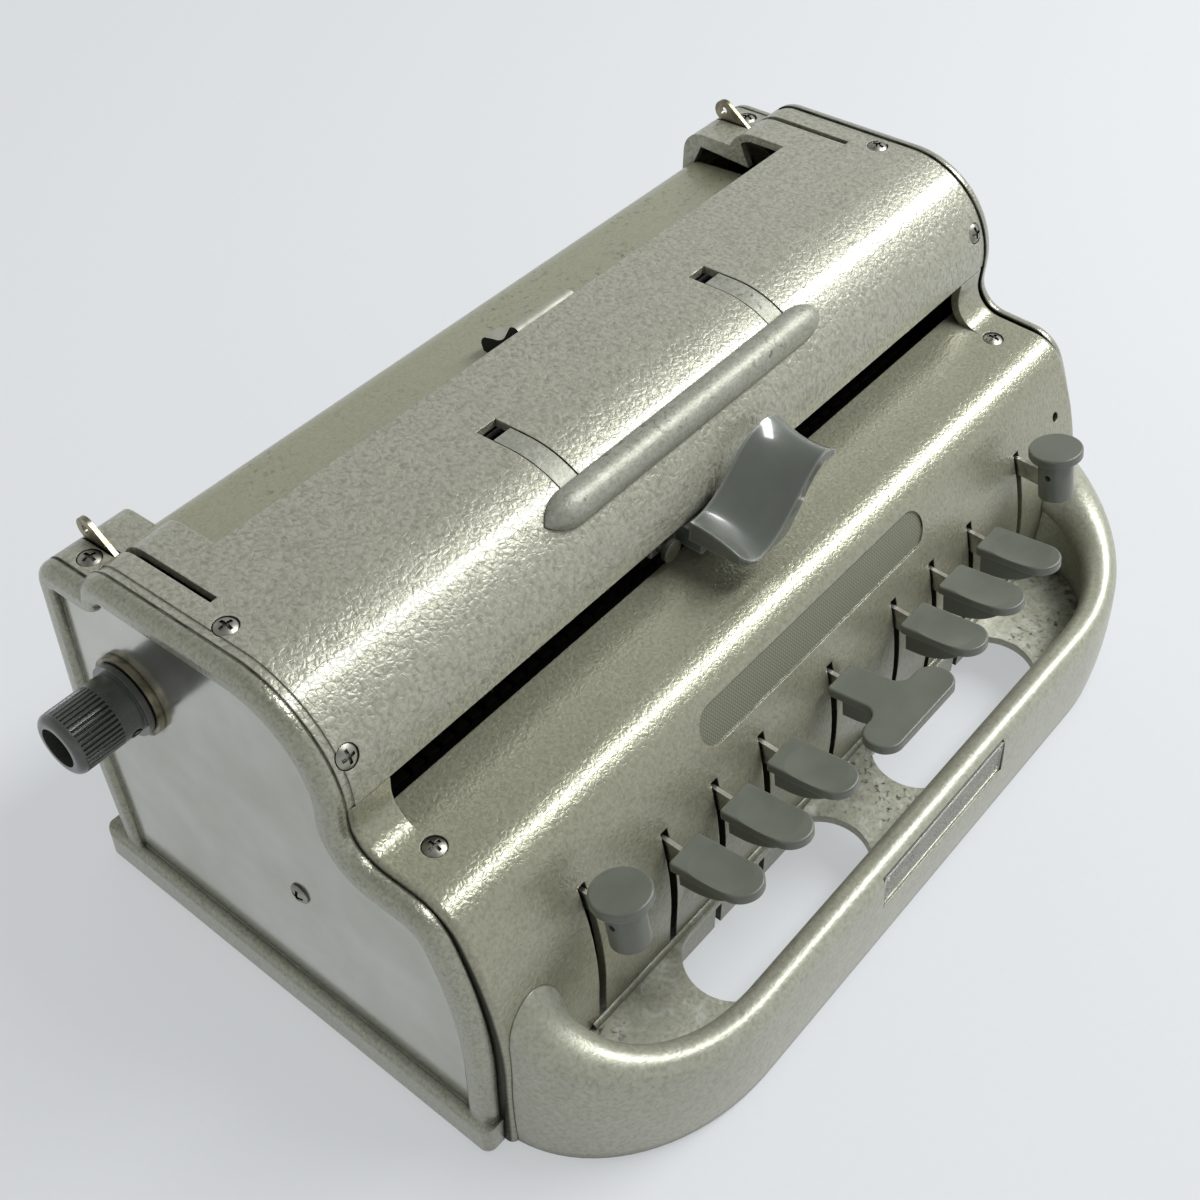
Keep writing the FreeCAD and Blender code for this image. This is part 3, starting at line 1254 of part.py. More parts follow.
def reading_rest():
    """Reading rest: ogive-ended half-round bar on two arms that lie flush in the cover."""
    axis = polar(COVER, COVER_R, REST_BAR_ANGLE)
    tip_r = (REST_BAR_R ** 2 + REST_BAR_TIP ** 2) / (2 * REST_BAR_R)
    start = REST_BAR_HALF - REST_BAR_TIP
    lean = math.asin(REST_BAR_TIP / tip_r) / 2

    def at(x, radius):
        return V(x, axis[0] + radius, axis[1])

    middle = at(start + tip_r * math.sin(lean), REST_BAR_R - tip_r * (1 - math.cos(lean)))
    arc = Part.Arc(at(start, REST_BAR_R), middle, at(REST_BAR_HALF, 0.0)).toShape()
    edges = [
        arc, mirrored(arc),
        Part.LineSegment(at(-start, REST_BAR_R), at(start, REST_BAR_R)).toShape(),
        Part.LineSegment(at(-REST_BAR_HALF, 0.0), at(REST_BAR_HALF, 0.0)).toShape(),
    ]
    face = Part.Face(Part.Wire(Part.__sortEdges__(edges)))
    bar = face.revolve(yz(axis), V(1, 0, 0), 360).cut(bore(COVER_R + FREE, *COVER))
    return fuse(bar, rest_arm(REST_ARM_X), rest_arm(-REST_ARM_X))


def rest_arm(x):
    """Arm of the reading rest: a strip along the cover with a foot under the bar and a hinge eye."""
    under = COVER_R - WALL + 0.4
    end = REST_SLOT_ANGLE - 2.0
    strip = closed(
        (COVER, COVER_R - REST_SINK, end, ROOF_NORMAL),
        (REST_PIN_Y + 2.0, roof_z(REST_PIN_Y + 2.0, REST_SINK)),
        (REST_PIN_Y + 2.0, REST_PIN_Z),
        (REST_PIN_Y - 2.5, REST_PIN_Z),
        (COVER, under, 84.0, end),
    )
    foot = closed(
        (COVER, COVER_R + 1.5, REST_BAR_ANGLE + 5.0, REST_BAR_ANGLE - 6.0),
        (COVER, under, REST_BAR_ANGLE - 6.0, REST_BAR_ANGLE + 5.0),
    )
    half = REST_ARM_W / 2
    arm = fuse(
        along(strip, x - half, x + half),
        along(foot, x - half, x + half),
        rod(REST_EYE_R, x - half, x + half, REST_PIN_Y, REST_PIN_Z),
    )
    return cut(arm, bore(REST_PIN_R + RUN, REST_PIN_Y, REST_PIN_Z))


def rest_hinge_pins():
    """Hinge pins of the reading rest, each held by two ears under the roof."""
    half = REST_SLOT_W / 2
    pin = rod(REST_PIN_R, REST_ARM_X - half - REST_EAR, REST_ARM_X + half + REST_EAR, REST_PIN_Y, REST_PIN_Z)
    near = REST_PIN_Y - 4.0
    far = REST_PIN_Y + 4.0
    low = REST_PIN_Z - 3.5
    ear = closed((near, roof_z(near, WALL)), (far, roof_z(far, WALL)), (far - 1.5, low), (near + 1.5, low))
    return both(fuse(
        pin,
        along(ear, REST_ARM_X + half, REST_ARM_X + half + REST_EAR),
        along(ear, REST_ARM_X - half - REST_EAR, REST_ARM_X - half),
    ))


def release_lever():
    """Right paper release lever: a steel strip with a round, drilled tip."""
    pivot = (RELEASE_Y, RELEASE_Z)
    tip = (RELEASE_TIP_Y, RELEASE_TIP_Z)
    lean = math.degrees(math.atan2(tip[1] - pivot[1], tip[0] - pivot[0]))
    half = RELEASE_W / 2
    x0 = RELEASE_X - RELEASE_T / 2
    strip = closed((pivot, half, lean + 90.0, lean + 270.0), (tip, half, lean - 90.0, lean + 90.0))
    blank = along(strip, x0, x0 + RELEASE_T)
    return cut(blank, bore(RELEASE_PIN_R + RUN, *pivot), bore(RELEASE_HOLE_R, *tip))


# ---- margin stops ----

def margin_stop(x):
    """Margin stop: a rider on the margin rack with a finger tab through the rear panel."""
    half = STOP_W / 2
    rider = box(
        x - half, x + half, RACK_Y - 2.8, REAR_Y - DECK_SET - WALL - 0.4,
        RACK_Z - 2.0, RACK_Z + RACK_H + SHEET,
    )
    around = box(
        x - STOP_W, x + STOP_W, RACK_Y - STOP_FIT, RACK_Y + RACK_T + STOP_FIT,
        RACK_Z - STOP_FIT, RACK_Z + RACK_H + STOP_FIT,
    )
    tab = slot(
        x - half + 0.5, x + half - 0.5, REAR_Y - 6.0, REAR_Y + 3.05,
        STOP_TAB_Z, STOP_TAB_Z + STOP_TAB_T, 2.0,
    )
    return cut(fuse(rider, tab), around)


# ---- all nodes ----

def casing_screws():
    right = [screw(*place) for place in (*cover_screws(), CAP_SCREW, PANEL_SCREW, END_SCREW)]
    return Part.makeCompound(right + [mirrored(s) for s in right])


def nodes():
    """Every sub-part by name."""
    parts = {
        "front_panel": front_panel(),
        "top_cover": top_cover(),
        "left_end_plate": mirrored(end_plate()),
        "right_end_plate": end_plate(),
        "rear_panel": rear_panel(),
        "left_rear_cap": mirrored(rear_cap()),
        "right_rear_cap": rear_cap(),
        "handle_tray": handle_tray(),
        "data_plate": data_plate(),
        "base_plate": base_plate(),
        "rubber_feet": rubber_feet(),
        "casing_screws": casing_screws(),
        "left_side_frame": left_side_frame(),
        "right_side_frame": side_frame(),
        "front_rail": rail(FRONT_RAIL_R, FRONT_RAIL_Y, FRONT_RAIL_Z),
        "rear_rail": rail(REAR_RAIL_R, REAR_RAIL_Y, REAR_RAIL_Z),
        "escapement_rack": toothed_bar(-1.5, 1.5, 84.0, 96.0, 2.6),
        "margin_rack": toothed_bar(RACK_Y, RACK_Y + RACK_T, RACK_Z, RACK_Z + RACK_H, 1.6),
        "key_shaft": rail(KEY_SHAFT_R, KEY_SHAFT_Y, KEY_SHAFT_Z),
        "spring_bar": spring_bar(),
        "key_return_springs": key_return_springs(),
        "drum_bushings": both(drum_bushing()),
        "knob_washers": both(knob_washer()),
        "bell": bell(),
        "mainspring_drum": mainspring_drum(),
        "mainspring_bracket": mainspring_bracket(),
        "rest_hinge_pins": rest_hinge_pins(),
        "paper_drum": paper_drum(),
        "drum_shaft": drum_shaft(),
        "left_knob": mirrored(knob()),
        "right_knob": knob(),
        "ratchet_wheel": ratchet_wheel(),
        "line_space_pawl": line_space_pawl(),
        "carriage_body": carriage_body(),
        "embossing_head": embossing_head(),
        "carriage_pivot_screw": carriage_pivot_screw(),
        "carriage_lever": carriage_lever(),
        "reading_rest": reading_rest(),
        "left_release_lever": mirrored(release_lever()),
        "right_release_lever": release_lever(),
        "left_margin_stop": margin_stop(-STOP_X),
        "right_margin_stop": margin_stop(STOP_X),
        "space_lever": dot_lever(0.0),
        "space_key": space_cap(),
        "line_space_lever": round_lever(-ROUND_X),
        "line_space_key": round_cap(-ROUND_X),
        "backspace_lever": round_lever(ROUND_X),
        "backspace_key": round_cap(ROUND_X),
    }
    for index, x in enumerate(DOT_X):
        parts[f"dot_{index + 1}_lever"] = dot_lever(-x)
        parts[f"dot_{index + 1}_key"] = dot_cap(-x)
        parts[f"dot_{index + 4}_lever"] = dot_lever(x)
        parts[f"dot_{index + 4}_key"] = dot_cap(x)
    return parts


os.makedirs("parts", exist_ok=True)
for name, shape in nodes().items():
    shape.exportStep(f"parts/{name}.step")
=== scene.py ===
import logging
import math
from dataclasses import dataclass, field
from enum import Enum
from typing import Any, Iterable

import bmesh
import bpy
from mathutils import Euler, Matrix, Vector


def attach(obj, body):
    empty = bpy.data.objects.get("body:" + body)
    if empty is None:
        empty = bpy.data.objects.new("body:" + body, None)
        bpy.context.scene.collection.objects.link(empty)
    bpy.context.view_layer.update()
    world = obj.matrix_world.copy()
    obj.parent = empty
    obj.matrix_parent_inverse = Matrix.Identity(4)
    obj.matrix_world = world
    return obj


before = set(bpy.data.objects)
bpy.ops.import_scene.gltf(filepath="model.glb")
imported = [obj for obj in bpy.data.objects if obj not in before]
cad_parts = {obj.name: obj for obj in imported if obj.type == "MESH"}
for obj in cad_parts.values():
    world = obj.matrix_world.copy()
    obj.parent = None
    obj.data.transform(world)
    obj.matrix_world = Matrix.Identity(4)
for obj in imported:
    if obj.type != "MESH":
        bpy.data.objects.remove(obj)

# A manual braille writer: hammered-enamel castings over a paper drum, nine moulded keys and a
# carriage with a saddle lever. The castings, shafts and levers come from the frame; this script
# gives them their finishes and adds the small things that are only skin deep.

LOG = logging.getLogger("braille_writer")

Colour = tuple[float, float, float, float]


# ---- small tools ----


def mm(value: float) -> float:
    """A length in millimetres as metres."""
    return value / 1000.0


def per_metre(size_mm: float) -> float:
    """The texture scale whose cells measure size_mm across."""
    return 1000.0 / size_mm


def linear(hex_colour: str) -> Colour:
    """Turns an sRGB hex colour into linear light.

    Args:
        hex_colour: Six hex digits, such as "a8a58f".

    Returns:
        Red, green, blue and alpha as the shaders take them.
    """
    channels = [int(hex_colour[i:i + 2], 16) / 255.0 for i in (0, 2, 4)]
    values = [c / 12.92 if c <= 0.04045 else ((c + 0.055) / 1.055) ** 2.4 for c in channels]
    return values[0], values[1], values[2], 1.0


def add_node(
    tree: bpy.types.NodeTree,
    kind: str,
    sockets: dict[str | int, Any] | None = None,
    **settings: Any,
) -> bpy.types.Node:
    """Adds one node with its settings, values and links.

    Args:
        tree: The node tree that takes the node.
        kind: The node's type name.
        sockets: Input name or index to a value, or to the output that feeds it.
        **settings: Properties of the node itself.

    Returns:
        The new node.
    """
    node = tree.nodes.new(kind)
    for name, value in settings.items():
        setattr(node, name, value)
    for socket, value in (sockets or {}).items():
        if isinstance(value, bpy.types.NodeSocket):
            tree.links.new(value, node.inputs[socket])
        else:
            node.inputs[socket].default_value = value
    return node


def ramp(
    tree: bpy.types.NodeTree, factor: bpy.types.NodeSocket, low: float, high: float
) -> bpy.types.NodeSocket:
    """Stretches a factor so that low becomes 0 and high becomes 1.

    Args:
        tree: The node tree.
        factor: The value to stretch.
        low: The value that gives 0.
        high: The value that gives 1.

    Returns:
        The stretched factor, held between 0 and 1.
    """
    node = add_node(
        tree, "ShaderNodeMapRange", {"Value": factor, "From Min": low, "From Max": high}, clamp=True
    )
    return node.outputs["Result"]


def blend_colour(
    tree: bpy.types.NodeTree,
    factor: bpy.types.NodeSocket | float,
    first: bpy.types.NodeSocket | Colour,
    second: bpy.types.NodeSocket | Colour,
) -> bpy.types.NodeSocket:
    """Mixes two colours.

    Args:
        tree: The node tree.
        factor: 0 gives the first colour and 1 the second.
        first: The colour at 0.
        second: The colour at 1.

    Returns:
        The mixed colour.
    """
    node = add_node(tree, "ShaderNodeMix", {0: factor, 6: first, 7: second}, data_type="RGBA")
    return node.outputs[2]


def noise_at(
    tree: bpy.types.NodeTree,
    place: bpy.types.NodeSocket,
    size_mm: float,
    detail: float = 2.0,
    distortion: float = 0.0,
) -> bpy.types.NodeSocket:
    """Soft random value with blotches of a real size.

    Args:
        tree: The node tree.
        place: Where the pattern is read.
        size_mm: Size of a blotch.
        detail: Octaves of finer blotches.
        distortion: How much the blotches are drawn out.

    Returns:
        The noise value.
    """
    node = add_node(
        tree,
        "ShaderNodeTexNoise",
        {"Vector": place, "Scale": per_metre(size_mm), "Detail": detail, "Distortion": distortion},
    )
    return node.outputs["Fac"]


def fresh_material(name: str) -> tuple[bpy.types.Material, bpy.types.NodeTree, bpy.types.Node]:
    """Makes an empty material.

    Args:
        name: Name of the finish.

    Returns:
        The material, its node tree and its output node.
    """
    material = bpy.data.materials.new(name)
    material.use_nodes = True
    tree = material.node_tree
    tree.nodes.clear()
    return material, tree, tree.nodes.new("ShaderNodeOutputMaterial")


def maths(
    tree: bpy.types.NodeTree, operation: str, *terms: bpy.types.NodeSocket | float
) -> bpy.types.NodeSocket:
    """One step of arithmetic on shader values.

    Args:
        tree: The node tree.
        operation: The step, such as "MULTIPLY".
        *terms: Its terms in order.

    Returns:
        The result.
    """
    node = add_node(tree, "ShaderNodeMath", dict(enumerate(terms)), operation=operation)
    return node.outputs[0]


def product(
    tree: bpy.types.NodeTree, *factors: bpy.types.NodeSocket | float
) -> bpy.types.NodeSocket:
    """Multiplies shader values one after another.

    Args:
        tree: The node tree.
        *factors: The values.

    Returns:
        Their product.
    """
    result = factors[0]
    for factor in factors[1:]:
        result = maths(tree, "MULTIPLY", result, factor)
    return result


def spread(
    tree: bpy.types.NodeTree, factor: bpy.types.NodeSocket, low: float, high: float
) -> bpy.types.NodeSocket:
    """Turns a factor between 0 and 1 into a value between low and high.

    Args:
        tree: The node tree.
        factor: The factor.
        low: The value at 0.
        high: The value at 1.

    Returns:
        The value.
    """
    node = add_node(
        tree, "ShaderNodeMapRange", {"Value": factor, "To Min": low, "To Max": high}
    )
    return node.outputs["Result"]


def object_place(tree: bpy.types.NodeTree) -> bpy.types.NodeSocket:
    """The place on a piece, in metres, where its patterns are read."""
    return add_node(tree, "ShaderNodeTexCoord").outputs["Object"]


def along_axes(
    tree: bpy.types.NodeTree, vector: bpy.types.NodeSocket
) -> bpy.types.bpy_prop_collection:
    """The parts of a place or a direction along X, Y and Z."""
    return add_node(tree, "ShaderNodeSeparateXYZ", {0: vector}).outputs


def face_direction(tree: bpy.types.NodeTree) -> bpy.types.bpy_prop_collection:
    """Where a face looks, along X, Y and Z, without any bump or rounding."""
    return along_axes(tree, add_node(tree, "ShaderNodeNewGeometry").outputs["True Normal"])


def bumped(
    tree: bpy.types.NodeTree,
    height: bpy.types.NodeSocket,
    depth_mm: float,
    smooth: bpy.types.NodeSocket | None = None,
) -> bpy.types.NodeSocket:
    """The normal of a surface with a fine relief.

    Args:
        tree: The node tree.
        height: The relief, from 0 to about 1.
        depth_mm: How deep the relief is.
        smooth: The normal of the surface without it, if that isn't the face's own.

    Returns:
        The relief's normal.
    """
    sockets: dict[str | int, Any] = {"Height": height, "Distance": mm(depth_mm)}
    if smooth is not None:
        sockets["Normal"] = smooth
    return add_node(tree, "ShaderNodeBump", sockets).outputs["Normal"]


def surface(
    tree: bpy.types.NodeTree, output: bpy.types.Node, sockets: dict[str | int, Any]
) -> None:
    """Ends a material with one principled surface.

    Args:
        tree: The node tree.
        output: The material's output node.
        sockets: The surface's values and the outputs that feed it.
    """
    shader = add_node(tree, "ShaderNodeBsdfPrincipled", sockets)
    tree.links.new(shader.outputs[0], output.inputs["Surface"])


def wandering(
    tree: bpy.types.NodeTree, place: bpy.types.NodeSocket, size_mm: float, reach_mm: float
) -> bpy.types.NodeSocket:
    """Pushes places about at random, so that a regular pattern loses its straight lines.

    Args:
        tree: The node tree.
        place: The places to push.
        size_mm: Size of the swirls.
        reach_mm: How far a place may move.

    Returns:
        The moved places.
    """
    swirl = add_node(
        tree,
        "ShaderNodeTexNoise",
        {"Vector": place, "Scale": per_metre(size_mm), "Detail": 1.0},
    ).outputs["Color"]
    reach = mm(2.0 * reach_mm)
    node = add_node(
        tree,
        "ShaderNodeVectorMath",
        {0: swirl, 1: (reach, reach, reach), 2: place},
        operation="MULTIPLY_ADD",
    )
    return node.outputs[0]


def rounded_normal(tree: bpy.types.NodeTree, radius_mm: float) -> bpy.types.NodeSocket:
    """The normal of a surface whose sharp edges are broken, as on any casting or moulding.

    Args:
        tree: The node tree.
        radius_mm: Radius of the broken edges.

    Returns:
        The normal.
    """
    bevel = add_node(tree, "ShaderNodeBevel", {"Radius": mm(radius_mm)}, samples=4)
    return bevel.outputs["Normal"]


def edge_share(tree: bpy.types.NodeTree, radius_mm: float) -> bpy.types.NodeSocket:
    """How near a place lies to a sharp edge: where hands and cloths rub the enamels, and where the
    plastics take a painted highlight.

    Args:
        tree: The node tree.
        radius_mm: How far from the edge the rubbing reaches.

    Returns:
        0 on open faces, up to 1 at the edge.
    """
    true_normal = add_node(tree, "ShaderNodeNewGeometry").outputs["True Normal"]
    match = add_node(
        tree,
        "ShaderNodeVectorMath",
        {0: rounded_normal(tree, radius_mm), 1: true_normal},
        operation="DOT_PRODUCT",
    ).outputs["Value"]
    return ramp(tree, match, 0.97, 0.75)


def recess_share(tree: bpy.types.NodeTree, reach_mm: float) -> bpy.types.NodeSocket:
    """How deep a place lies in a corner, seam or slot. The finishes darken such places by it, a
    painted shade with some old soiling.

    Args:
        tree: The node tree.
        reach_mm: How far away a wall still counts.

    Returns:
        0 in the open, up to 1 in a narrow gap.
    """
    openness = add_node(
        tree, "ShaderNodeAmbientOcclusion", {"Distance": mm(reach_mm)}, samples=4
    ).outputs["AO"]
    return ramp(tree, openness, 0.72, 0.34)


def shown_directly(tree: bpy.types.NodeTree) -> bpy.types.NodeSocket:
    """Tells what is seen, directly or in gloss and glass, from light that falls on matt things.

    Args:
        tree: The node tree.

    Returns:
        1 for what is seen and 0 for the rest.
    """
    path = add_node(tree, "ShaderNodeLightPath").outputs
    seen = maths(tree, "MAXIMUM", path["Is Camera Ray"], path["Is Glossy Ray"])
    return maths(tree, "MAXIMUM", seen, path["Is Transmission Ray"])


# ---- finishes ----


@dataclass(frozen=True)
class HammerEnamel:
    """Stoved hammer enamel with aluminium flake, sprayed on a sand or die casting.

    The flake gives a soft metallic sheen, and the silicone in the paint draws it into shallow
    leathery cells with fine creases between them, which break up each highlight; creases and
    hollows are also painted darker, a painted shade. A casting may leave a sunk face smooth,
    inside smooth_inside_mm of the middle, and may have slots inside slots_inside_mm whose walls
    are painted dark, a painted shade. Corners and the seams at the end plates are painted darker
    too, painted shade with some old soiling. Wear bares the metal and leaves specks on what looks
    up below wear_below_mm.
    """

    name: str
    colour: str
    # crease is the colour painted into the creases and hollows, a painted shade.
    crease: str
    dimple_mm: float
    depth_mm: float
    gloss: float = 0.3
    metallic: float = 0.4
    coat: float = 0.7
    coat_roughness: float = 0.12
    skin_share: float = 0.35
    edge_mm: float = 0.6
    # Colour, reach and strength of the painted shade and old soiling in corners, seams and slot walls;
    # the colour also marks the wear specks.
    grime_and_shade: str = "26251e"
    grime_and_shade_reach_mm: float = 3.5
    grime_and_shade_strength: float = 0.93
    # Where the painted shade along the end-plate seams lies, and how wide it is.
    seam_x_mm: float = 165.15
    seam_edge_mm: float = 0.85
    seam_core_mm: float = 0.4
    slots_inside_mm: float = 0.0
    rubbed: str = "c4c1b0"
    rubbed_mm: float = 0.7
    wear: float = 0.0
    wear_below_mm: float = 1000.0
    wear_fades_mm: float = 4.0
    bare: float = 0.0
    bared: str = "cbcac3"
    smooth_inside_mm: float = 0.0
    smooth_colour: str = "c3c3bc"

    def material(self) -> bpy.types.Material:
        """Builds the enamel's material.

        Returns:
            The material.
        """
        material, tree, output = fresh_material(self.name)
        place = object_place(tree)
        axes = along_axes(tree, place)
        height, shade = self.relief(tree, place)
        # Creases and hollows take the darker crease colour, a painted shade.
        colour = blend_colour(tree, shade, linear(self.colour), linear(self.crease))
        rough = spread(tree, noise_at(tree, place, 38.0, 3.0), self.gloss - 0.06, self.gloss + 0.08)
        metallic: bpy.types.NodeSocket | float = self.metallic
        if self.smooth_inside_mm > 0.0:
            sunk = self.sideways_share(tree, axes, self.smooth_inside_mm)
            cloud = ramp(tree, noise_at(tree, place, 26.0, 4.0), 0.3, 0.75)
            plain = blend_colour(
                tree, product(tree, cloud, 0.75), linear(self.smooth_colour), linear(self.colour)
            )
            colour = blend_colour(tree, sunk, colour, plain)
            textured = maths(tree, "SUBTRACT", 1.0, product(tree, sunk, 0.9))
            height = product(tree, height, textured)
            rough = maths(tree, "SUBTRACT", rough, product(tree, sunk, 0.12))
            metallic = maths(tree, "MULTIPLY_ADD", sunk, 0.25, self.metallic)
        # Painted shade and old soiling in corners, seams and slot walls; coat and specular are dropped
        # there as well.
        held = self.grime_and_shade_share(tree, axes)
        unshaded_share = maths(tree, "SUBTRACT", 1.0, held)
        smooth = rounded_normal(tree, self.edge_mm)
        surface(
            tree,
            output,
            {
                "Base Color": self.shaded_and_worn(tree, place, axes, colour, held),
                "Metallic": metallic,
                "Roughness": rough,
                "IOR": 1.5,
                "Specular IOR Level": product(tree, unshaded_share, 0.5),
                "Coat Weight": product(tree, unshaded_share, self.coat),
                "Coat Roughness": self.coat_roughness,
                "Normal": bumped(tree, height, self.depth_mm, smooth),
                "Coat Normal": bumped(tree, height, self.skin_share * self.depth_mm, smooth),
            },
        )
        return material

    def relief(
        self, tree: bpy.types.NodeTree, place: bpy.types.NodeSocket
    ) -> tuple[bpy.types.NodeSocket, bpy.types.NodeSocket]:
        """The leathery relief: shallow pillows of paint with creases and hollows between them, which
        are also painted darker, a painted shade.

        Args:
            tree: The node tree.
            place: Where patterns are read.

        Returns:
            The height, and how far each place takes the darker crease colour, a painted shade in the
            creases and hollows.
        """
        warped = wandering(tree, place, 1.3 * self.dimple_mm, 0.5 * self.dimple_mm)
        cells = add_node(
            tree,
            "ShaderNodeTexVoronoi",
            {"Vector": warped, "Scale": per_metre(self.dimple_mm)},
            feature="DISTANCE_TO_EDGE",
        ).outputs["Distance"]
        pillow = maths(tree, "POWER", ramp(tree, cells, 0.0, 0.45), 0.6)
        leather = noise_at(tree, warped, 0.75 * self.dimple_mm, 3.0)
        height = maths(tree, "MULTIPLY_ADD", leather, 1.2, product(tree, pillow, 0.45))
        faint = ramp(tree, noise_at(tree, place, 3.0 * self.dimple_mm, 2.0), 0.42, 0.7)
        # Crease lines and hollows are painted darker, a painted shade in place of the relief's
        # shading.
        line = product(tree, ramp(tree, cells, 0.16, 0.0), faint, 0.45)
        hollow = product(tree, ramp(tree, leather, 0.6, 0.3), 0.6)
        return height, maths(tree, "MAXIMUM", line, hollow)

    def sideways_share(
        self, tree: bpy.types.NodeTree, axes: bpy.types.bpy_prop_collection, inside_mm: float
    ) -> bpy.types.NodeSocket:
        """Picks out the faces that look sideways near the machine's middle.

        Args:
            tree: The node tree.
            axes: The place along each axis.
            inside_mm: How far from the middle they may lie.

        Returns:
            1 on such faces and 0 elsewhere.
        """
        out = maths(tree, "ABSOLUTE", axes["X"])
        near = ramp(tree, out, mm(inside_mm + 0.5), mm(inside_mm))
        across = maths(tree, "ABSOLUTE", face_direction(tree)["X"])
        return product(tree, near, ramp(tree, across, 0.85, 0.97))

    def grime_and_shade_share(
        self, tree: bpy.types.NodeTree, axes: bpy.types.bpy_prop_collection
    ) -> bpy.types.NodeSocket:
        """Painted shade with some old soiling: in corners, in the seams between casing and end plates,
        and on the walls of the key slots.

        Args:
            tree: The node tree.
            axes: The place along each axis.

        Returns:
            How much of it each place holds.
        """
        # A thin band along each end-plate seam is painted dark, a painted shade in its groove.
        off_seam = maths(tree, "SUBTRACT", maths(tree, "ABSOLUTE", axes["X"]), mm(self.seam_x_mm))
        edge, core = mm(self.seam_edge_mm), mm(self.seam_core_mm)
        seam = ramp(tree, maths(tree, "ABSOLUTE", off_seam), edge, core)
        held = maths(tree, "MAXIMUM", recess_share(tree, self.grime_and_shade_reach_mm), seam)
        # The walls of the key slots are painted dark, a painted shade.
        if self.slots_inside_mm > 0.0:
            walls = self.sideways_share(tree, axes, self.slots_inside_mm)
            held = maths(tree, "MAXIMUM", held, walls)
        return product(tree, held, self.grime_and_shade_strength)

    def shaded_and_worn(
        self,
        tree: bpy.types.NodeTree,
        place: bpy.types.NodeSocket,
        axes: bpy.types.bpy_prop_collection,
        colour: bpy.types.NodeSocket,
        held: bpy.types.NodeSocket,
    ) -> bpy.types.NodeSocket:
        """Adds painted shade and old soiling in recesses, then long use: rubbed edges, and bare metal
        and specks where the paint wears through.

        Args:
            tree: The node tree.
            place: Where patterns are read.
            axes: The place along each axis.
            colour: The colour before shade and wear.
            held: How much painted shade and old soiling each place takes.

        Returns:
            The shaded and worn colour.
        """
        # Painted shade and old soiling in recesses, seams and slot walls.
        colour = blend_colour(tree, held, colour, linear(self.grime_and_shade))
        rubbing = ramp(tree, noise_at(tree, place, 6.0, 3.0), 0.35, 0.65)
        rubbing = product(tree, edge_share(tree, self.rubbed_mm), rubbing, 0.6)
        colour = blend_colour(tree, rubbing, colour, linear(self.rubbed))
        if self.wear <= 0.0:
            return colour
        fading = mm(self.wear_below_mm + self.wear_fades_mm)
        low = ramp(tree, axes["Z"], fading, mm(self.wear_below_mm))
        low = product(tree, low, ramp(tree, face_direction(tree)["Z"], 0.1, 0.7))
        low = maths(tree, "MULTIPLY_ADD", low, 0.85, 0.15)
        through = ramp(tree, noise_at(tree, place, 4.0, 4.0, 0.6), 0.5, 0.66)
        through = product(tree, through, low, self.bare)
        colour = blend_colour(tree, through, colour, linear(self.bared))
        flecks = ramp(tree, noise_at(tree, place, 2.2, 4.0, 0.5), 0.60 - 0.06 * self.wear, 0.70)
        areas = ramp(tree, noise_at(tree, place, 30.0, 2.0), 0.42, 0.62)
        specks = product(tree, flecks, areas, low, self.wear)
        return blend_colour(tree, specks, colour, linear(self.grime_and_shade))


@dataclass(frozen=True)
class MouldedPlastic:
    """Compression-moulded phenolic: grey with a soft sheen, paler along its edges, a painted
    highlight, and darker in its recesses, a painted shade.
    """

    name: str
    colour: str
    rubbed: str
    # edge is the colour of the painted highlight along the edges.
    edge: str = "9a9c92"
    roughness: float = 0.38
    coat: float = 0.25
    coat_roughness: float = 0.2
    edge_mm: float = 0.5
    edge_strength: float = 0.6
    # Colour and reach of the painted shade in recesses.
    grime_and_shade: str = "262723"
    grime_and_shade_reach_mm: float = 2.0

    def material(self) -> bpy.types.Material:
        """Builds the plastic's material.

        Returns:
            The material.
        """
        material, tree, output = fresh_material(self.name)
        place = object_place(tree)
        cloud = noise_at(tree, place, 14.0, 3.0)
        fine = noise_at(tree, place, 0.5, 2.0)
        colour = blend_colour(
            tree, ramp(tree, cloud, 0.35, 0.75), linear(self.colour), linear(self.rubbed)
        )
        # Edges are painted paler, a painted highlight.
        worn = product(tree, edge_share(tree, 1.6 * self.edge_mm), self.edge_strength)
        colour = blend_colour(tree, worn, colour, linear(self.edge))
        # Recesses are painted darker, a painted shade.
        recess_shade = product(tree, recess_share(tree, self.grime_and_shade_reach_mm), 0.6)
        colour = blend_colour(tree, recess_shade, colour, linear(self.grime_and_shade))
        surface(
            tree,
            output,
            {
                "Base Color": colour,
                "Roughness": spread(tree, cloud, self.roughness - 0.08, self.roughness + 0.1),
                "IOR": 1.55,
                "Coat Weight": self.coat,
                "Coat Roughness": self.coat_roughness,
                "Normal": bumped(tree, fine, 0.012, rounded_normal(tree, self.edge_mm)),
            },
        )
        return material


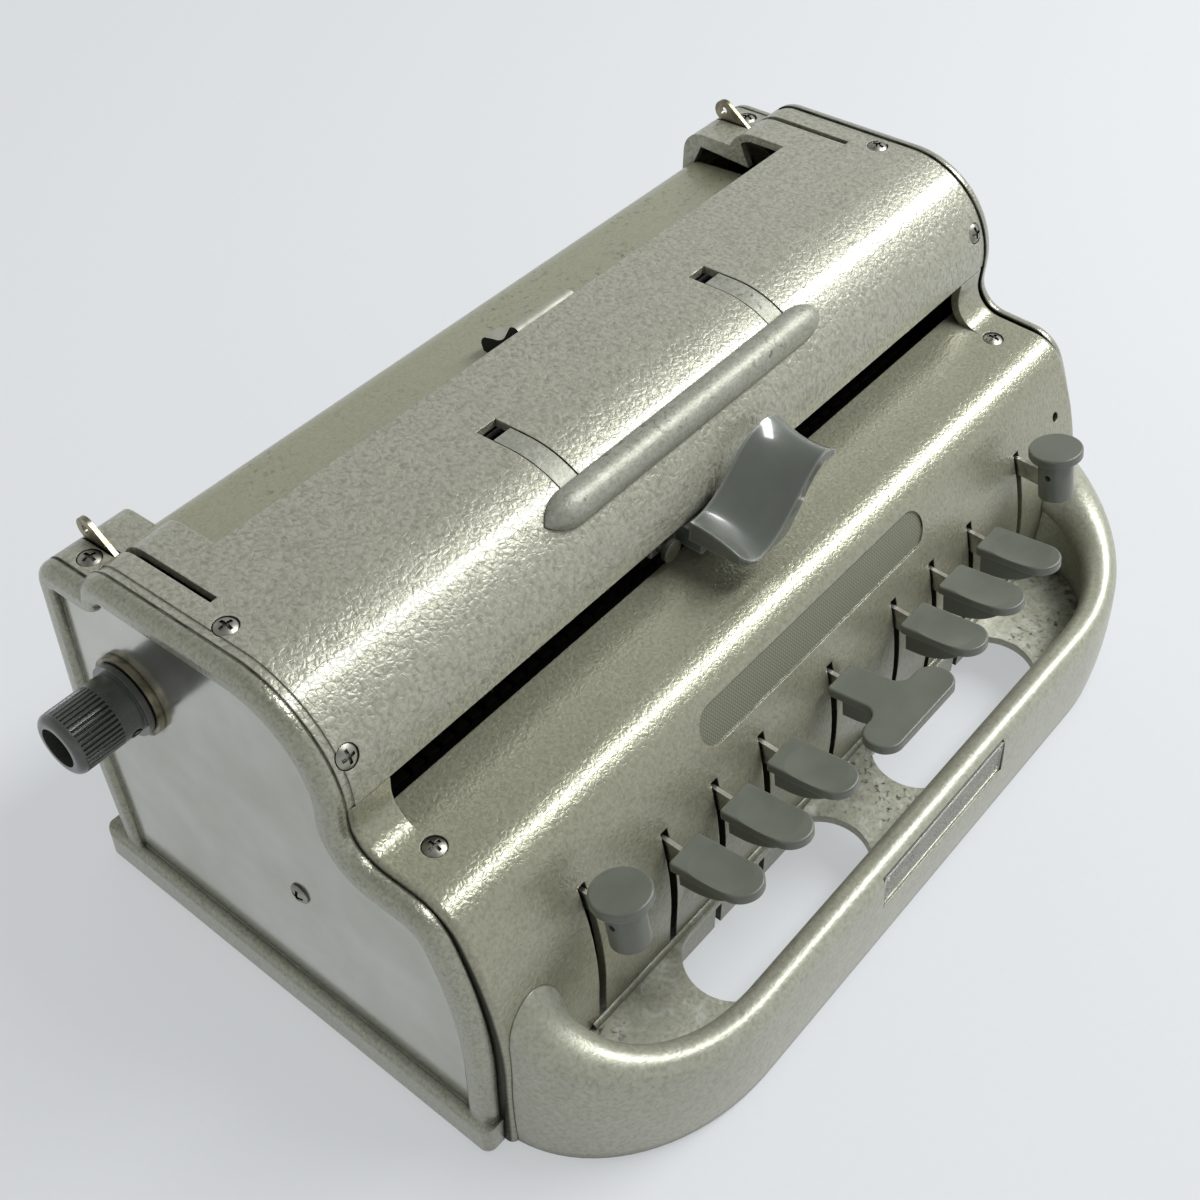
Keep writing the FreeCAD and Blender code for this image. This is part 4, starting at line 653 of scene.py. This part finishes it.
@dataclass(frozen=True)
class Steel:
    """Steel, plated or blackened, with the fine lines of its drawing or turning.

    A piece may have its sides that face along X painted dark, a painted shade.
    """

    name: str
    colour: str
    tarnish: str
    roughness: float = 0.3
    metallic: float = 1.0
    edge_mm: float = 0.2
    # Reach and colour of the painted shade in recesses.
    recess_mm: float = 0.0
    grime_and_shade: str = "12110e"
    # Colour of the painted shade on the sides that face along X.
    side_shade: str = ""

    def material(self) -> bpy.types.Material:
        """Builds the metal's material.

        Returns:
            The material.
        """
        material, tree, output = fresh_material(self.name)
        place = object_place(tree)
        stain = noise_at(tree, place, 5.0, 4.0, 0.4)
        lines = noise_at(tree, place, 0.25, 2.0)
        colour = blend_colour(
            tree, ramp(tree, stain, 0.45, 0.75), linear(self.colour), linear(self.tarnish)
        )
        # Recesses are painted darker, a painted shade.
        if self.recess_mm > 0.0:
            recess_shade = recess_share(tree, self.recess_mm)
            colour = blend_colour(tree, recess_shade, colour, linear(self.grime_and_shade))
        # Sides that face along X are painted dark, a painted shade.
        if self.side_shade:
            across = maths(tree, "ABSOLUTE", face_direction(tree)["X"])
            side = ramp(tree, across, 0.7, 0.9)
            colour = blend_colour(tree, side, colour, linear(self.side_shade))
        surface(
            tree,
            output,
            {
                "Base Color": colour,
                "Metallic": self.metallic,
                "Roughness": spread(tree, stain, self.roughness - 0.08, self.roughness + 0.15),
                "Normal": bumped(tree, lines, 0.008, rounded_normal(tree, self.edge_mm)),
            },
        )
        return material


@dataclass(frozen=True)
class RuledGround:
    """Sunk enamel ground ruled with fine crossing lines, as a die engraver leaves it."""

    name: str
    colour: str = "8b8c78"
    groove: str = "6f705e"
    pitch_mm: float = 0.95
    lean: float = 35.0
    depth_mm: float = 0.05

    def material(self) -> bpy.types.Material:
        """Builds the ruled ground's material.

        Returns:
            The material.
        """
        material, tree, output = fresh_material(self.name)
        place = object_place(tree)
        # at scale 1 the bands of a wave repeat every pi / 10 units
        scale = per_metre(self.pitch_mm) * math.pi / 10.0
        bands: list[bpy.types.NodeSocket] = []
        for lean in (self.lean, -self.lean):
            turned = add_node(
                tree,
                "ShaderNodeMapping",
                {"Vector": place, "Rotation": (0.0, math.radians(lean), 0.0)},
            ).outputs["Vector"]
            wave = add_node(
                tree,
                "ShaderNodeTexWave",
                {"Vector": turned, "Scale": scale, "Distortion": 0.3, "Detail": 1.0},
                bands_direction="X",
            )
            bands.append(wave.outputs["Fac"])
        height = maths(tree, "MINIMUM", *bands)
        colour = blend_colour(
            tree, ramp(tree, height, 0.1, 0.6), linear(self.groove), linear(self.colour)
        )
        normal = bumped(tree, height, self.depth_mm)
        surface(
            tree,
            output,
            {"Base Color": colour, "Metallic": 0.3, "Roughness": 0.45, "Normal": normal},
        )
        return material


@dataclass(frozen=True)
class EtchedGround:
    """Etched field of a tin plate: matt grey with fine dark stipple, nothing printed on it."""

    name: str
    colour: str = "a9a79d"
    etched: str = "4f4e46"

    def material(self) -> bpy.types.Material:
        """Builds the etched ground's material.

        Returns:
            The material.
        """
        material, tree, output = fresh_material(self.name)
        place = object_place(tree)
        stipple = ramp(tree, noise_at(tree, place, 0.55, 2.0), 0.42, 0.6)
        worn = ramp(tree, noise_at(tree, place, 9.0, 3.0), 0.35, 0.7)
        share = product(tree, stipple, maths(tree, "MULTIPLY_ADD", worn, 0.35, 0.6))
        colour = blend_colour(tree, share, linear(self.colour), linear(self.etched))
        normal = bumped(tree, stipple, 0.03)
        surface(
            tree,
            output,
            {"Base Color": colour, "Metallic": 0.7, "Roughness": 0.42, "Normal": normal},
        )
        return material


@dataclass(frozen=True)
class MattRubber:
    """Moulded black rubber: matt, a little dusty."""

    name: str = "moulded_black_rubber"
    colour: str = "1d1c1b"
    dusty: str = "4a4946"

    def material(self) -> bpy.types.Material:
        """Builds the rubber's material.

        Returns:
            The material.
        """
        material, tree, output = fresh_material(self.name)
        place = object_place(tree)
        dust = noise_at(tree, place, 3.0, 3.0)
        colour = blend_colour(
            tree, ramp(tree, dust, 0.4, 0.9), linear(self.colour), linear(self.dusty)
        )
        surface(tree, output, {"Base Color": colour, "Roughness": 0.85, "IOR": 1.52})
        return material


class Paint(Enum):
    """The enamels, plastics and metals of the machine."""

    # Each enamel paints its creases and hollows darker, and its corners, seams and slot walls darker
    # still: painted shade, with some old soiling.
    COVER = HammerEnamel(
        "hammer_enamel_on_cast_cover", colour="acab9a", crease="717060", dimple_mm=2.2, depth_mm=0.26,
        gloss=0.4, coat=0.55, coat_roughness=0.12, skin_share=0.12,
    )
    # The panel's key-slot walls are painted dark, a painted shade.
    PANEL = HammerEnamel(
        "hammer_enamel_on_front_panel", colour="9e9d88", crease="797964", dimple_mm=1.8, depth_mm=0.14,
        coat=0.45, coat_roughness=0.2, skin_share=0.2, grime_and_shade_reach_mm=5.0, slots_inside_mm=112.0,
    )
    END = HammerEnamel(
        "enamel_on_end_casting", colour="a2a290", crease="6f6f5e", dimple_mm=1.5, depth_mm=0.12,
        gloss=0.28, metallic=0.6, smooth_inside_mm=168.5, grime_and_shade_reach_mm=4.0,
    )
    REAR = HammerEnamel(
        "thin_enamel_on_rear_sheet", colour="9c9b82", crease="86856e", dimple_mm=1.6,
        depth_mm=0.03, gloss=0.4, metallic=0.35, wear=0.6,
    )
    TRAY = HammerEnamel(
        "worn_enamel_on_handle_casting", colour="aeae9d", crease="898974", dimple_mm=2.0,
        depth_mm=0.07, gloss=0.38, coat=0.3, coat_roughness=0.22, wear=1.0, bare=0.6,
        wear_below_mm=21.0, grime_and_shade_reach_mm=10.0,
    )
    REST = HammerEnamel(
        "rubbed_enamel_on_reading_rest", colour="a2a295", crease="7d7d6e", dimple_mm=1.5,
        depth_mm=0.08, gloss=0.5, metallic=0.5, coat=0.0, wear=0.8, bare=0.25,
    )
    # The plastics' edge colours are a painted highlight along their edges.
    KEY = MouldedPlastic(
        "moulded_grey_phenolic_keys", colour="595c51", rubbed="64675c", edge="8d8f83"
    )
    SADDLE = MouldedPlastic(
        "polished_grey_phenolic_lever", colour="565a52", rubbed="60645b", edge="a8aba0",
        roughness=0.24, coat=1.0, coat_roughness=0.08, edge_mm=1.0, edge_strength=0.9,
    )
    KNOB = MouldedPlastic(
        "turned_dark_phenolic_knobs", colour="3d3f3a", rubbed="4a4c46", edge="7d7f77",
        roughness=0.26, coat=0.6, coat_roughness=0.06, edge_mm=0.3,
    )
    BRIGHT = Steel("nickel_plated_steel", colour="c9c6bb", tarnish="8d897b", roughness=0.28)
    # recess_mm on these darkens their recesses, a painted shade.
    LEVER = Steel(
        "tarnished_nickel_stamping", colour="97917c", tarnish="4d4838", roughness=0.3, recess_mm=2.0,
    )
    SCREW = Steel(
        "nickel_plated_screws", colour="a3a197", tarnish="76736a", roughness=0.34, recess_mm=2.6,
    )
    DARK = Steel("blackened_steel_works", colour="24231f", tarnish="171613", roughness=0.5)
    DRUM = Steel("turned_aluminium_drum", colour="55544e", tarnish="38372f", roughness=0.45)
    # Its sides that face along X are painted near black, a painted shade.
    HEAD = Steel(
        "satin_aluminium_head", colour="aeac9f", tarnish="9a988b", roughness=0.55, metallic=0.6,
        side_shade="1d1c18",
    )
    BRONZE = Steel("oiled_bronze_bush", colour="8a6f45", tarnish="574528", roughness=0.35)
    PLATE = Steel("bright_tin_plate_border", colour="c4c2b8", tarnish="9c9a90", roughness=0.26)
    PLATE_GROUND = EtchedGround("etched_tin_plate_ground")
    RUBBER = MattRubber()
    NAME_GROUND = RuledGround("ruled_enamel_ground")


_made: dict[str, bpy.types.Material] = {}


def finish_of(paint: Paint) -> bpy.types.Material:
    """The material of a finish, built on first use.

    Args:
        paint: The finish.

    Returns:
        The material.
    """
    if paint.name not in _made:
        _made[paint.name] = paint.value.material()
    return _made[paint.name]


def dress(piece: bpy.types.Object, paint: Paint) -> None:
    """Gives every face of a piece one finish.

    Args:
        piece: A frame node or a piece made here.
        paint: The finish it takes.
    """
    if not piece.material_slots:
        piece.data.materials.append(finish_of(paint))
    for slot in piece.material_slots:
        slot.link = "OBJECT"
        slot.material = finish_of(paint)


def dress_nodes(names: Iterable[str], paint: Paint) -> None:
    """Gives frame nodes one finish."""
    for name in names:
        dress(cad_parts[name], paint)


def mesh_piece(
    name: str,
    points: list[Vector],
    faces: list[tuple[int, ...]],
    body: str,
    paint: Paint,
) -> bpy.types.Object:
    """Makes a smooth-shaded mesh piece that rides on a body.

    Args:
        name: Name of the piece.
        points: Its points in metres.
        faces: Point numbers of each face.
        body: The frame body it moves with.
        paint: Its finish.

    Returns:
        The new piece.
    """
    mesh = bpy.data.meshes.new(name)
    mesh.from_pydata([tuple(p) for p in points], [], faces)
    mesh.validate()
    shaped = bmesh.new()
    shaped.from_mesh(mesh)
    bmesh.ops.recalc_face_normals(shaped, faces=shaped.faces)
    shaped.to_mesh(mesh)
    shaped.free()
    mesh.shade_smooth()
    piece = bpy.data.objects.new(name, mesh)
    bpy.context.scene.collection.objects.link(piece)
    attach(piece, body)
    dress(piece, paint)
    return piece


def ring_faces(start: int, around: int, rings: int) -> list[tuple[int, ...]]:
    """The four-sided faces between rings of points, each ring joined to the next.

    Args:
        start: The number of the first ring's first point.
        around: Points in each ring.
        rings: How many bands of faces there are.

    Returns:
        The point numbers of each face.
    """
    faces: list[tuple[int, ...]] = []
    for ring in range(rings):
        for k in range(around):
            a = start + ring * around + k
            b = start + ring * around + (k + 1) % around
            faces.append((a, b, b + around, a + around))
    return faces


# ---- sub-assemblies ----


@dataclass
class Casing:
    """The castings that close the machine, with the sunk name ground left bare."""

    face_axis: tuple[float, float] = (58.6, 33.0)
    face_radius: float = 125.0
    ground_angle: float = 153.9
    ground_half: float = 61.9
    ground_height: float = 13.2
    ground_depth: float = 0.66
    castings: dict[Paint, tuple[str, ...]] = field(
        default_factory=lambda: {
            Paint.COVER: ("top_cover", "left_rear_cap", "right_rear_cap"),
            Paint.PANEL: ("front_panel",),
            Paint.END: ("left_end_plate", "right_end_plate"),
            Paint.REAR: ("rear_panel",),
            Paint.SCREW: ("casing_screws",),
            Paint.DARK: ("base_plate",),
            Paint.RUBBER: ("rubber_feet",),
        }
    )

    def build(self) -> list[str]:
        """Dresses the castings and lays the ground of the name recess.

        Returns:
            The names of the pieces that were made or dressed.
        """
        made: list[str] = []
        for paint, names in self.castings.items():
            dress_nodes(names, paint)
            made.extend(names)
        made.append(self.name_ground().name)
        return made

    def name_ground(self) -> bpy.types.Object:
        """The ruled ground of the name recess: a stadium bent to the curve of the face.

        Returns:
            The ground.
        """
        radius = self.face_radius - self.ground_depth
        half_height = self.ground_height / 2
        columns, rows = 80, 8
        points: list[Vector] = []
        for i in range(columns + 1):
            x = self.ground_half * math.sin(math.pi * (i / columns - 0.5))
            past = max(0.0, abs(x) - (self.ground_half - half_height))
            reach = math.sqrt(max(half_height ** 2 - past ** 2, 1e-4))
            for j in range(rows + 1):
                rise = reach * (2 * j / rows - 1)
                turn = math.radians(self.ground_angle) - rise / radius
                y = self.face_axis[0] + radius * math.cos(turn)
                z = self.face_axis[1] + radius * math.sin(turn)
                points.append(Vector((mm(x), mm(y), mm(z))))
        faces = [
            (a, a + 1, a + rows + 2, a + rows + 1)
            for i in range(columns)
            for a in range(i * (rows + 1), i * (rows + 1) + rows)
        ]
        return mesh_piece("name_ground", points, faces, "casing", Paint.NAME_GROUND)


@dataclass
class HandleTray:
    """The handle casting in front, and the bare data plate with its four pins.

    The plate leans back, so places on it are given along it: x across, rise up its face from
    the lower edge, and lift off the floor of its pocket.
    """

    plate_foot: tuple[float, float] = (-111.2, 25.0)
    plate_lean: float = 4.0
    plate_half: float = 37.0
    plate_height: float = 14.2
    border: float = 1.0
    ground_gap: float = 0.15
    ground_cut: float = 0.6
    ground_lift: float = 0.02
    field_lift: float = 0.6
    pin_radius: float = 0.75
    pin_height: float = 0.45
    pin_inset: float = 2.4

    def build(self) -> list[str]:
        """Dresses the tray and its plate, lays the plate's ground and drives the pins.

        Returns:
            The names of the pieces.
        """
        dress_nodes(("handle_tray",), Paint.TRAY)
        dress_nodes(("data_plate",), Paint.PLATE)
        return ["handle_tray", "data_plate", self.ground().name, self.pins().name]

    def on_plate(self, x: float, rise: float, lift: float) -> Vector:
        """Finds a place on the leaning plate.

        Args:
            x: Place across, in millimetres.
            rise: Height above the plate's foot, along the plate.
            lift: Distance out from the plate.

        Returns:
            The place in metres.
        """
        lean = math.radians(self.plate_lean)
        y = self.plate_foot[0] + rise * math.sin(lean) - lift * math.cos(lean)
        z = self.plate_foot[1] + rise * math.cos(lean) + lift * math.sin(lean)
        return Vector((mm(x), mm(y), mm(z)))

    def ground(self) -> bpy.types.Object:
        """The etched ground inside the plate's bright border, left blank.

        Returns:
            The ground.
        """
        inset = self.border + self.ground_gap
        half = self.plate_half - inset
        cut = self.ground_cut
        low, high = inset, self.plate_height - inset
        outline = [
            (-half + cut, low), (half - cut, low), (half, low + cut), (half, high - cut),
            (half - cut, high), (-half + cut, high), (-half, high - cut), (-half, low + cut),
        ]
        lift = self.field_lift + self.ground_lift
        points = [self.on_plate(x, rise, lift) for x, rise in outline]
        faces = [tuple(range(len(points)))]
        return mesh_piece(
            "data_plate_ground", points, faces, "casing", Paint.PLATE_GROUND
        )

    def pins(self) -> bpy.types.Object:
        """Four domed drive pins at the corners of the plate.

        Returns:
            The pins as one piece.
        """
        points: list[Vector] = []
        faces: list[tuple[int, ...]] = []
        around, rings = 16, 4
        side = self.plate_half - self.pin_inset
        for x in (-side, side):
            for rise in (self.pin_inset, self.plate_height - self.pin_inset):
                start = len(points)
                for ring in range(rings + 1):
                    lift = math.pi / 2 * ring / rings
                    radius = self.pin_radius * math.cos(lift)
                    for k in range(around):
                        turn = 2 * math.pi * k / around
                        points.append(
                            self.on_plate(
                                x + radius * math.cos(turn),
                                rise + radius * math.sin(turn),
                                self.field_lift + self.pin_height * math.sin(lift),
                            )
                        )
                faces += ring_faces(start, around, rings)
        return mesh_piece("data_plate_pins", points, faces, "casing", Paint.BRIGHT)


@dataclass
class Keyboard:
    """Nine keys: steel levers with moulded grey caps."""

    names: tuple[str, ...] = (
        "space", "line_space", "backspace", "dot_1", "dot_2", "dot_3", "dot_4", "dot_5", "dot_6",
    )

    def build(self) -> list[str]:
        """Dresses the levers and caps.

        Returns:
            The names of the keys.
        """
        dress_nodes((f"{name}_lever" for name in self.names), Paint.BRIGHT)
        dress_nodes((f"{name}_key" for name in self.names), Paint.KEY)
        return [f"{name}_key" for name in self.names]


@dataclass
class Carriage:
    """Carriage, embossing head and the polished saddle lever."""

    def build(self) -> list[str]:
        """Dresses the carriage.

        Returns:
            The names of the pieces.
        """
        dress_nodes(("carriage_body",), Paint.DARK)
        dress_nodes(("embossing_head",), Paint.HEAD)
        dress_nodes(("carriage_pivot_screw",), Paint.SCREW)
        dress_nodes(("carriage_lever",), Paint.SADDLE)
        return ["carriage_body", "embossing_head", "carriage_pivot_screw", "carriage_lever"]


@dataclass
class DrumAndKnobs:
    """Paper drum, its shaft and bushes, and the ribbed knobs with their set screws."""

    axis: tuple[float, float] = (75.3, 105.1)
    collar_radius: float = 10.35
    screw_x: float = 175.9
    screw_angle: float = 204.0
    screw_radius: float = 1.9
    screw_rise: float = 0.06
    screw_sunk: float = 0.6
    socket_radius: float = 1.0
    socket_floor_radius: float = 0.9
    socket_depth: float = 0.8

    def build(self) -> list[str]:
        """Dresses the drum and knobs and sets the screws of the knobs.

        Returns:
            The names of the pieces.
        """
        dress_nodes(("left_knob", "right_knob"), Paint.KNOB)
        dress_nodes(("paper_drum",), Paint.DRUM)
        dress_nodes(("drum_shaft", "ratchet_wheel", "line_space_pawl"), Paint.BRIGHT)
        dress_nodes(("knob_washers",), Paint.LEVER)
        dress_nodes(("drum_bushings",), Paint.BRONZE)
        return ["left_knob", "right_knob", "paper_drum", "drum_shaft", self.set_screws().name]

    def set_screws(self) -> bpy.types.Object:
        """The black socket screw in the collar of each knob, level with its surface.

        Returns:
            Both screws as one piece.
        """
        turn = math.radians(self.screw_angle)
        out = Vector((0.0, math.cos(turn), math.sin(turn)))
        across = Vector((0.0, -math.sin(turn), math.cos(turn)))
        # radius of each ring and its height over the collar's nearest line
        rings = (
            (self.screw_radius, -self.screw_sunk),
            (self.screw_radius, self.screw_rise),
            (self.socket_radius, self.screw_rise),
            (self.socket_floor_radius, -self.socket_depth),
        )
        around = 24
        points: list[Vector] = []
        faces: list[tuple[int, ...]] = []
        for side in (-1.0, 1.0):
            start = len(points)
            centre = Vector((side * self.screw_x, *self.axis)) + out * self.collar_radius
            for radius, lift in rings:
                for k in range(around):
                    angle = 2 * math.pi * k / around
                    sideways = Vector((radius * math.cos(angle), 0.0, 0.0))
                    upwards = across * radius * math.sin(angle)
                    points.append((centre + sideways + upwards + out * lift) / 1000.0)
            last = len(rings) - 1
            faces += ring_faces(start, around, last)
            faces.append(tuple(start + last * around + k for k in range(around)))
        return mesh_piece("knob_set_screws", points, faces, "drum", Paint.DARK)


@dataclass
class RestAndReleases:
    """The folding reading rest and the two paper release levers."""

    def build(self) -> list[str]:
        """Dresses the rest and the levers.

        Returns:
            The names of the pieces.
        """
        dress_nodes(("reading_rest",), Paint.REST)
        dress_nodes(("left_release_lever", "right_release_lever"), Paint.LEVER)
        dress_nodes(("rest_hinge_pins",), Paint.BRIGHT)
        return ["reading_rest", "left_release_lever", "right_release_lever"]


@dataclass
class Works:
    """What lies inside: frames, rails, racks, springs, bell and margin stops."""

    dark: tuple[str, ...] = (
        "left_side_frame", "right_side_frame", "escapement_rack", "spring_bar",
        "mainspring_bracket", "front_rail", "rear_rail",
    )
    bright: tuple[str, ...] = (
        "margin_rack", "key_shaft", "key_return_springs", "bell", "mainspring_drum",
    )
    stops: tuple[str, ...] = ("left_margin_stop", "right_margin_stop")

    def build(self) -> list[str]:
        """Dresses the works.

        Returns:
            The names of the pieces.
        """
        dress_nodes(self.dark, Paint.DARK)
        dress_nodes(self.bright, Paint.BRIGHT)
        dress_nodes(self.stops, Paint.LEVER)
        return [*self.dark, *self.bright, *self.stops]


@dataclass
class Studio:
    """Pale floor, soft overhead light and the camera."""

    eye: tuple[float, float, float] = (-341.09, -233.04, 487.42)
    turn: tuple[float, float, float] = (44.018, -1.151, -50.584)
    lens: float = 51.56
    sensor: float = 36.0
    floor_half: float = 4.0
    floor_colours: tuple[str, str] = ("e2e3e6", "dcdde0")
    floor_glow: float = 0.6
    glow_colour: str = "dfe2e4"
    air_colour: str = "f6f7f9"
    room_colours: tuple[str, str] = ("dce0e1", "9fa3a4")
    key_direction: tuple[float, float, float] = (0.55, -0.27, 0.80)
    key_distance: float = 1.5
    key_size: tuple[float, float] = (1.3, 0.3)
    key_power: float = 20.5
    world_strength: float = 0.49

    def build(self) -> list[str]:
        """Sets the floor, the light and the camera.

        Returns:
            The names of what was set.
        """
        bpy.context.scene.view_settings.view_transform = "Standard"
        self.world()
        return [self.floor().name, self.key_light().name, self.camera().name]

    def floor(self) -> bpy.types.Object:
        """A wide pale floor at table level.

        Returns:
            The floor.
        """
        mesh = bpy.data.meshes.new("pale_floor")
        half = self.floor_half
        corners = [(-half, -half, 0.0), (half, -half, 0.0), (half, half, 0.0), (-half, half, 0.0)]
        mesh.from_pydata(corners, [], [(0, 1, 2, 3)])
        floor = bpy.data.objects.new("pale_floor", mesh)
        bpy.context.scene.collection.objects.link(floor)
        material, tree, output = fresh_material("pale_matt_board")
        place = object_place(tree)
        grain = noise_at(tree, place, 3.0, 2.0)
        colour = blend_colour(tree, grain, *(linear(shade) for shade in self.floor_colours))
        board = add_node(
            tree, "ShaderNodeBsdfPrincipled", {"Base Color": colour, "Roughness": 0.75}
        )
        glow = add_node(
            tree, "ShaderNodeEmission", {"Color": linear(self.glow_colour), "Strength": 1.0}
        )
        share = product(tree, shown_directly(tree), self.floor_glow)
        mixed = add_node(
            tree, "ShaderNodeMixShader", {0: share, 1: board.outputs[0], 2: glow.outputs[0]}
        )
        tree.links.new(mixed.outputs[0], output.inputs["Surface"])
        mesh.materials.append(material)
        return floor

    def key_light(self) -> bpy.types.Object:
        """One long soft lamp, above and to the right, that runs along the machine.

        Returns:
            The lamp.
        """
        data = bpy.data.lights.new("window_light", "AREA")
        data.shape = "RECTANGLE"
        data.size, data.size_y = self.key_size
        data.energy = self.key_power
        data.color = (0.97, 0.99, 1.0)
        lamp = bpy.data.objects.new("window_light", data)
        toward = Vector(self.key_direction).normalized()
        lamp.location = toward * self.key_distance
        along = (Vector((1.0, 0.0, 0.0)) - toward * toward.x).normalized()
        axes = Matrix((along, toward.cross(along), toward)).transposed()
        lamp.rotation_euler = axes.to_euler()
        bpy.context.scene.collection.objects.link(lamp)
        return lamp

    def world(self) -> None:
        """Even white light from all round, in a room that is pale low down and dimmer overhead."""
        world = bpy.data.worlds.new("studio_air")
        bpy.context.scene.world = world
        world.use_nodes = True
        tree = world.node_tree
        tree.nodes.clear()
        air = add_node(
            tree,
            "ShaderNodeBackground",
            {"Color": linear(self.air_colour), "Strength": self.world_strength},
        )
        up = along_axes(tree, add_node(tree, "ShaderNodeTexCoord").outputs["Generated"])["Z"]
        low, high = (linear(shade) for shade in self.room_colours)
        room = blend_colour(tree, ramp(tree, up, 0.2, 0.7), low, high)
        seen = add_node(tree, "ShaderNodeBackground", {"Color": room, "Strength": 1.0})
        mixed = add_node(
            tree,
            "ShaderNodeMixShader",
            {0: shown_directly(tree), 1: air.outputs[0], 2: seen.outputs[0]},
        )
        add_node(tree, "ShaderNodeOutputWorld", {"Surface": mixed.outputs[0]})

    def camera(self) -> bpy.types.Object:
        """The camera at its measured place.

        Returns:
            The camera.
        """
        data = bpy.data.cameras.new("camera")
        data.lens = self.lens
        data.sensor_width = self.sensor
        camera = bpy.data.objects.new("camera", data)
        camera.location = Vector(self.eye) / 1000.0
        camera.rotation_euler = Euler([math.radians(a) for a in self.turn], "XYZ")
        bpy.context.scene.collection.objects.link(camera)
        bpy.context.scene.camera = camera
        return camera


def corners(box: tuple[Vector, Vector]) -> list[list[float]]:
    """A box as plain numbers."""
    return [list(box[0]), list(box[1])]


def main() -> None:
    """Builds every sub-assembly in order and reports each piece."""
    logging.basicConfig(level=logging.INFO, format="%(name)s: %(message)s")
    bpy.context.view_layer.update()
    assemblies = (
        Studio(), Casing(), HandleTray(), Keyboard(), Carriage(), DrumAndKnobs(),
        RestAndReleases(), Works(),
    )
    for assembly in assemblies:
        for name in assembly.build():
            LOG.info("%s: %s", type(assembly).__name__, name)
    bpy.context.view_layer.update()


if __name__ == "__main__":
    main()
